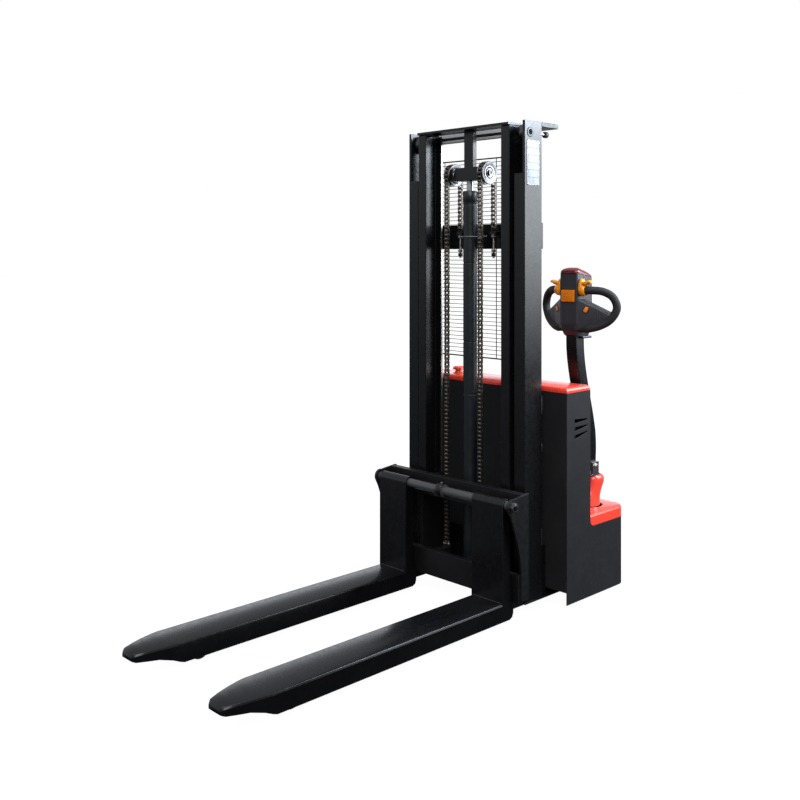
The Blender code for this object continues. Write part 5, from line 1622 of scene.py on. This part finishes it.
    def cap(self) -> None:
        """The domed top of the head: rounded-square rings that draw in like an ellipse.

        Every ring's rise falls off behind the middle, to half at the back edge, so the dome slopes back.
        """
        low, high = float(self.cap_box.low[2]), float(self.cap_box.high[2])
        angle = np.linspace(0, np.pi / 2, 14)
        share = np.concatenate([[1.0], np.cos(angle[:-1]) ** 0.75, [0.06]])
        rise = np.concatenate([[0.0], 0.14 + 0.86 * np.sin(angle[:-1]), [1.0]])
        outline = rounded_rect(1.0, 1.0, 0.34, 6)
        half = self.head_half + 0.0012, self.head_depth / 2 + 0.0012
        rings = np.empty((len(share), len(outline), 3))
        rings[..., 0] = self.x + half[0] * share[:, None] * outline[:, 0]
        rings[..., 1] = self.y + half[1] * share[:, None] * outline[:, 1]
        behind = np.clip((rings[..., 1] - self.y) / half[1], 0, 1)
        rings[..., 2] = low + (high - low) * rise[:, None] * (1 - 0.50 * behind ** 1.3)
        self.shop.piece("cap_dome", [(self.sloped(loft(rings)), CAP_RED)], "tiller", "red_cover",
                        ("head_cap",))

    def belly(self) -> None:
        """The amber safety button on the front of the head, with three ribs across its front."""
        box = self.shop.box("belly_button")
        low, high = box.low, box.high
        body = block(low, high, 0.003, Axis.Y, 0.004, 4)
        rim = []
        for k in range(3):
            z = float(box.centre[2]) + (k - 1) * 0.010
            path = np.array([(float(low[0]) + 0.012, float(low[1]) + 0.0004, z),
                             (float(high[0]) - 0.012, float(low[1]) + 0.0004, z)])
            rim.append(sweep(path, round_section(0.0012, 8)))
        self.shop.piece("belly_pad", [([body, *rim], AMBER)], "belly_button", "amber", ("belly_button",))

    def grip_path(self, side: Side) -> Array:
        """The loop's centreline: out of the head, round, and back in below.

        Args:
            side: which grip.

        Returns:
            The curve's points.
        """
        top, bottom = self.bottom + self.grip_rise, self.bottom + 0.030
        start = self.head_half - 0.003
        reach, straight = self.grip_reach, self.head_half + 0.018
        outline = [(start, top), (straight, top), (0.50 * reach, top), (0.72 * reach, top - 0.004),
                   (0.905 * reach, top - 0.022), (reach, top - 0.055), (0.98 * reach, top - 0.085),
                   (0.85 * reach, top - 0.118), (0.64 * reach, bottom + 0.012),
                   (0.43 * reach, bottom + 0.002), (start, bottom)]
        corners = [(x, z, self.wing_sweep * max(x - straight, 0.0)) for x, z in outline]
        out, z, back = smooth_path(corners, 8).T
        return np.stack([self.x + side.value * out, self.grip_y + back, z], 1)

    def grip(self, side: Side) -> None:
        """A foam-covered loop with a seam ring where the cover starts.

        Args:
            side: which grip.
        """
        path = self.grip_path(side)
        travelled = np.concatenate([[0], np.cumsum(np.linalg.norm(np.diff(path, axis=0), axis=1))])
        near = np.minimum(travelled, travelled[-1] - travelled)
        cover = np.clip((near - 0.020) / 0.003, 0, 1)
        swell = self.grip_radius - 0.0022 * (1 - cover)
        section = round_section(1.0, self.grip_sides)[None] * swell[:, None, None]
        self.shop.piece(f"foam_loop_{side.word}", [(sweep(path, section), FOAM)], "tiller", "black_grip",
                        (f"grip_{side.word}",))

    def lever(self, side: Side) -> None:
        """A butterfly lever: an egg-shaped lobe round the grip's root with a flared outer tab.

        Args:
            side: which lever.
        """
        name = f"thumb_lever_{side.word}"
        box = self.shop.box(name)
        root = self.x + side.value * (self.head_half + 0.0006)
        z = self.bottom + self.grip_rise
        y = self.grip_y
        turn = np.linspace(0, 2 * np.pi, 36, endpoint=False)
        egg_y = y + 0.0205 * np.cos(turn) * (1 - 0.10 * np.sin(turn))
        egg_z = z + 0.0105 + 0.0345 * np.sin(turn)
        low, high = sorted((root, root + side.value * 0.0145))
        lobe = plate(np.stack([egg_y, egg_z], 1), Axis.X, low, high, 0.0045, 4)
        hub = lathe([(0.0173, side.value * 0.010), (0.0240, side.value * 0.010), (0.0235, side.value * 0.018),
                     (0.0205, side.value * 0.026), (0.0175, side.value * 0.028)], (root, y, z), Axis.X, 40,
                    closed=True)
        many = 18
        out = np.linspace(0.006, float(box.high[0] - box.low[0]) - 0.0015, many)
        share = (out - out[0]) / (out[-1] - out[0])
        lift = 0.0270 + 0.004 * share ** 1.5 + 0.004 * (share > 0.62) * np.sin((share - 0.62) / 0.38 * np.pi)
        wide = 0.0120 + 0.0030 * np.sin(share * np.pi) - 0.005 * share ** 6
        thick = 0.0120 + 0.0062 * np.sin(share * np.pi) - 0.0050 * share ** 3
        outline = rounded_rect(1.0, 1.0, 0.7, 4)
        rings = np.empty((many, len(outline), 3))
        rings[..., 0] = (root + side.value * out)[:, None]
        rings[..., 1] = y - 0.002 + wide[:, None] * outline[:, 0]
        rings[..., 2] = z + lift[:, None] + thick[:, None] / 2 * outline[:, 1]
        tab = loft(rings)
        self.shop.piece(f"butterfly_{side.word}", [([lobe, hub, tab], LEVER)], name, "amber", (name,))

    def finger_button(self, side: Side) -> None:
        """A small slanted amber rocker in a dark bezel on the wing's front.

        Args:
            side: which button.
        """
        name = "lift_button" if side is Side.LEFT else "lower_button"
        box = self.shop.box(name)
        x, z = float(box.centre[0]), float(box.centre[2])
        y = self.wing_front
        angle = math.radians(-24 * side.value)
        turn = np.array([[math.cos(angle), -math.sin(angle)], [math.sin(angle), math.cos(angle)]])
        flat = rounded_rect(0.0060, 0.0100, 0.0022, 4) @ turn.T + np.array([x, z])
        rocker = self.swept(plate(flat, Axis.Y, y - 0.0036, y + 0.0040, 0.0010, 2))
        rim = rounded_rect(0.0085, 0.0130, 0.003, 4) @ turn.T + np.array([x, z])
        bezel = self.swept(sweep(np.stack([rim[:, 0], np.full(len(rim), y), rim[:, 1]], 1),
                                 round_section(0.0012, 8), closed=True))
        self.shop.piece(name + "_rocker", [(rocker, AMBER)], name, "amber", (name,))
        self.shop.piece(name + "_bezel", [(bezel, RUBBER)], "tiller", "charcoal_casing")


# ---- studio ---------------------------------------------------------------------------------
@dataclass(frozen=True)
class Wall:
    """One wall of the room: the level direction that it lies in, and its light by the height's sine."""

    facing: tuple[float, float]
    light: tuple[tuple[float, float], ...]


@dataclass
class Studio:
    """The camera, the pale floor, the lamps and the surroundings."""

    eye: tuple[float, float, float] = (2.5337, -2.4591, 1.3482)
    heading: float = 45.9668
    lens: float = 43.78
    shift: float = -0.18125
    walls: tuple[Wall, ...] = (
        Wall((-0.719, 0.695),
             ((-1.0, 0.20), (1.0, 0.50), (-0.02, 0.50), (0.0, 1.3), (0.18, 1.3), (0.28, 0.38))),
        Wall((-0.695, -0.719),
             ((-1.0, 0.03), (1.0, 0.45), (-0.30, 0.03), (-0.12, 0.13), (0.0, 0.30), (0.10, 0.66))),
        Wall((0.695, 0.719), ((-1.0, 0.02), (1.0, 0.35), (-0.05, 0.03), (0.05, 0.16), (0.5, 0.35))),
        Wall((0.719, -0.695), ((-1.0, 0.03), (1.0, 0.25), (-0.1, 0.05), (0.1, 0.22))))

    def camera(self) -> None:
        """A level camera with a vertical shift that frames the whole truck."""
        data = bpy.data.cameras.new("studio_camera")
        data.lens = self.lens
        data.sensor_width = 36.0
        data.shift_y = self.shift
        data.clip_end = 200.0
        made = bpy.data.objects.new("studio_camera", data)
        made.location = self.eye
        made.rotation_euler = (math.radians(90), 0.0, math.radians(self.heading))
        bpy.context.scene.collection.objects.link(made)
        bpy.context.scene.camera = made

    def floor(self) -> None:
        """A wide pale floor."""
        many, reach = 64, 60.0
        angle = np.arange(many) * 2 * np.pi / many
        ring = np.stack([reach * np.cos(angle), reach * np.sin(angle), np.full(many, -0.0005)], 1)
        mesh = bpy.data.meshes.new("studio_floor")
        mesh.from_pydata(ring.tolist(), [], [tuple(range(many))])
        material = bpy.data.materials.new("studio_floor")
        material.use_nodes = True
        shader = material.node_tree.nodes["Principled BSDF"]
        shader.inputs["Base Color"].default_value = (0.08, 0.08, 0.08, 1.0)
        shader.inputs["Roughness"].default_value = 0.9
        shader.inputs["Specular IOR Level"].default_value = 0.1
        shader.inputs["Emission Color"].default_value = (1.0, 1.0, 1.0, 1.0)
        shader.inputs["Emission Strength"].default_value = 0.97
        mesh.materials.append(material)
        made = bpy.data.objects.new("studio_floor", mesh)
        made.visible_glossy = False
        made.visible_diffuse = False
        bpy.context.scene.collection.objects.link(made)

    def lamp(self, name: str, place: Sequence[float], target: Sequence[float], size: tuple[float, float],
             power: float, tint: Colour = (1.0, 1.0, 1.0)) -> None:
        """A rectangular soft lamp that faces a point.

        Args:
            name: the lamp's name.
            place: where it hangs.
            target: the point that it faces.
            size: its width and height.
            power: its power in watts.
            tint: its colour.
        """
        data = bpy.data.lights.new(name, "AREA")
        data.shape = "RECTANGLE"
        data.size, data.size_y = size
        data.energy = power
        data.color = tint
        made = bpy.data.objects.new(name, data)
        made.location = place
        away = np.asarray(place, float) - np.asarray(target, float)
        flat = math.hypot(away[0], away[1])
        made.rotation_euler = (math.atan2(flat, away[2]), 0.0, math.atan2(away[0], -away[1]))
        made.visible_camera = False
        bpy.context.scene.collection.objects.link(made)

    def lamps(self) -> None:
        """One broad sky-like lamp, a stack of soft boxes behind the truck and a small one overhead."""
        suns = (("overhead", 1.1, 70, 20, 30), ("front_fill", 1.7, 40, 56, 46))
        for name, energy, spread, tilt, turn in suns:
            sky = bpy.data.lights.new(name, "SUN")
            sky.energy = energy
            sky.angle = math.radians(spread)
            made = bpy.data.objects.new(name, sky)
            made.rotation_euler = (math.radians(tilt), 0.0, math.radians(turn))
            bpy.context.scene.collection.objects.link(made)
        for name, low, high, power in (("tall_box", 1.35, 2.90, 76.0), ("middle_box", 0.95, 1.35, 11.0),
                                       ("low_box", 0.65, 0.95, 1.8)):
            middle = (low + high) / 2
            self.lamp(name, (2.4, 2.5, middle), (0.0, 0.4, middle), (2.4, high - low), power,
                      (0.93, 1.0, 1.05))
        self.lamp("overhead_box", (1.3, 1.5, 2.4), (0.1, -0.2, 0.3), (0.9, 0.9), 60.0, (0.80, 0.93, 1.10))

    def surroundings(self) -> None:
        """A plain white backdrop for the camera, and for everything else a room with a bright horizon."""
        world = bpy.data.worlds.new("studio")
        bpy.context.scene.world = world
        world.use_nodes = True
        tree = world.node_tree
        out = tree.nodes["World Output"]
        room = tree.nodes["Background"]
        room.inputs["Strength"].default_value = 1.0
        tree.links.new(self.room(tree), room.inputs["Color"])
        white = tree.nodes.new("ShaderNodeBackground")
        white.inputs["Color"].default_value = (1.0, 1.0, 1.0, 1.0)
        path = tree.nodes.new("ShaderNodeLightPath")
        mix = tree.nodes.new("ShaderNodeMixShader")
        tree.links.new(path.outputs["Is Camera Ray"], mix.inputs[0])
        tree.links.new(room.outputs["Background"], mix.inputs[1])
        tree.links.new(white.outputs["Background"], mix.inputs[2])
        tree.links.new(mix.outputs["Shader"], out.inputs["Surface"])
        bpy.context.scene.view_settings.view_transform = "Standard"

    def room(self, tree: bpy.types.NodeTree) -> bpy.types.NodeSocket:
        """The room's light in each direction: four walls, each with its own run of light by height.

        A wall's share is the square of the cosine between it and the direction's level part, so the shares
        of four walls at right angles add up to one.

        Args:
            tree: the world's nodes.

        Returns:
            The colour's socket.
        """
        towards = tree.nodes.new("ShaderNodeTexCoord").outputs["Generated"]
        parts = tree.nodes.new("ShaderNodeSeparateXYZ")
        tree.links.new(towards, parts.inputs["Vector"])
        flat = tree.nodes.new("ShaderNodeCombineXYZ")
        tree.links.new(parts.outputs["X"], flat.inputs["X"])
        tree.links.new(parts.outputs["Y"], flat.inputs["Y"])
        level = tree.nodes.new("ShaderNodeVectorMath")
        level.operation = "NORMALIZE"
        tree.links.new(flat.outputs["Vector"], level.inputs[0])
        height = tree.nodes.new("ShaderNodeMapRange")
        height.inputs["From Min"].default_value = -1.0
        tree.links.new(parts.outputs["Z"], height.inputs["Value"])
        total = None
        for wall in self.walls:
            share = tree.nodes.new("ShaderNodeVectorMath")
            share.operation = "DOT_PRODUCT"
            share.inputs[1].default_value = (*wall.facing, 0.0)
            tree.links.new(level.outputs["Vector"], share.inputs[0])
            kept = tree.nodes.new("ShaderNodeMath")
            kept.operation = "MAXIMUM"
            kept.inputs[1].default_value = 0.0
            tree.links.new(share.outputs["Value"], kept.inputs[0])
            squared = tree.nodes.new("ShaderNodeMath")
            squared.operation = "MULTIPLY"
            tree.links.new(kept.outputs["Value"], squared.inputs[0])
            tree.links.new(kept.outputs["Value"], squared.inputs[1])
            ramp = tree.nodes.new("ShaderNodeValToRGB")
            tree.links.new(height.outputs["Result"], ramp.inputs["Fac"])
            stops = ramp.color_ramp.elements
            for number, (sine, light) in enumerate(wall.light):
                stop = stops[number] if number < 2 else stops.new((sine + 1) / 2)
                stop.position = (sine + 1) / 2
                stop.color = (light * 0.94, light * 0.98, light * 1.05, 1.0)
            scaled = tree.nodes.new("ShaderNodeVectorMath")
            scaled.operation = "SCALE"
            tree.links.new(ramp.outputs["Color"], scaled.inputs[0])
            tree.links.new(squared.outputs["Value"], scaled.inputs["Scale"])
            if total is None:
                total = scaled.outputs["Vector"]
                continue
            add = tree.nodes.new("ShaderNodeVectorMath")
            tree.links.new(total, add.inputs[0])
            tree.links.new(scaled.outputs["Vector"], add.inputs[1])
            total = add.outputs["Vector"]
        return total

    def build(self) -> None:
        """Set up the whole studio."""
        self.floor()
        self.lamps()
        self.surroundings()


def mast_origin() -> Array:
    """The middle of the mast's front plane on the floor, from the outer rails' boxes."""
    left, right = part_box("outer_rail_left"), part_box("outer_rail_right")
    return np.array([(left[0][0] + right[1][0]) / 2, right[0][1], 0.0])


def main() -> None:
    """Build the studio and every sub-assembly, then log how many pieces were made."""
    logging.basicConfig(level=logging.INFO, format="%(message)s")
    studio = Studio()
    studio.camera()
    shop = Workshop(mast_origin())
    for assembly in (Mast(shop), LiftingMast(shop), Carriage(shop), Chassis(shop), Tiller(shop)):
        assembly.build()
    studio.build()
    LOG.info("%d pieces", len(shop.pieces))


if __name__ == "__main__":
    main()
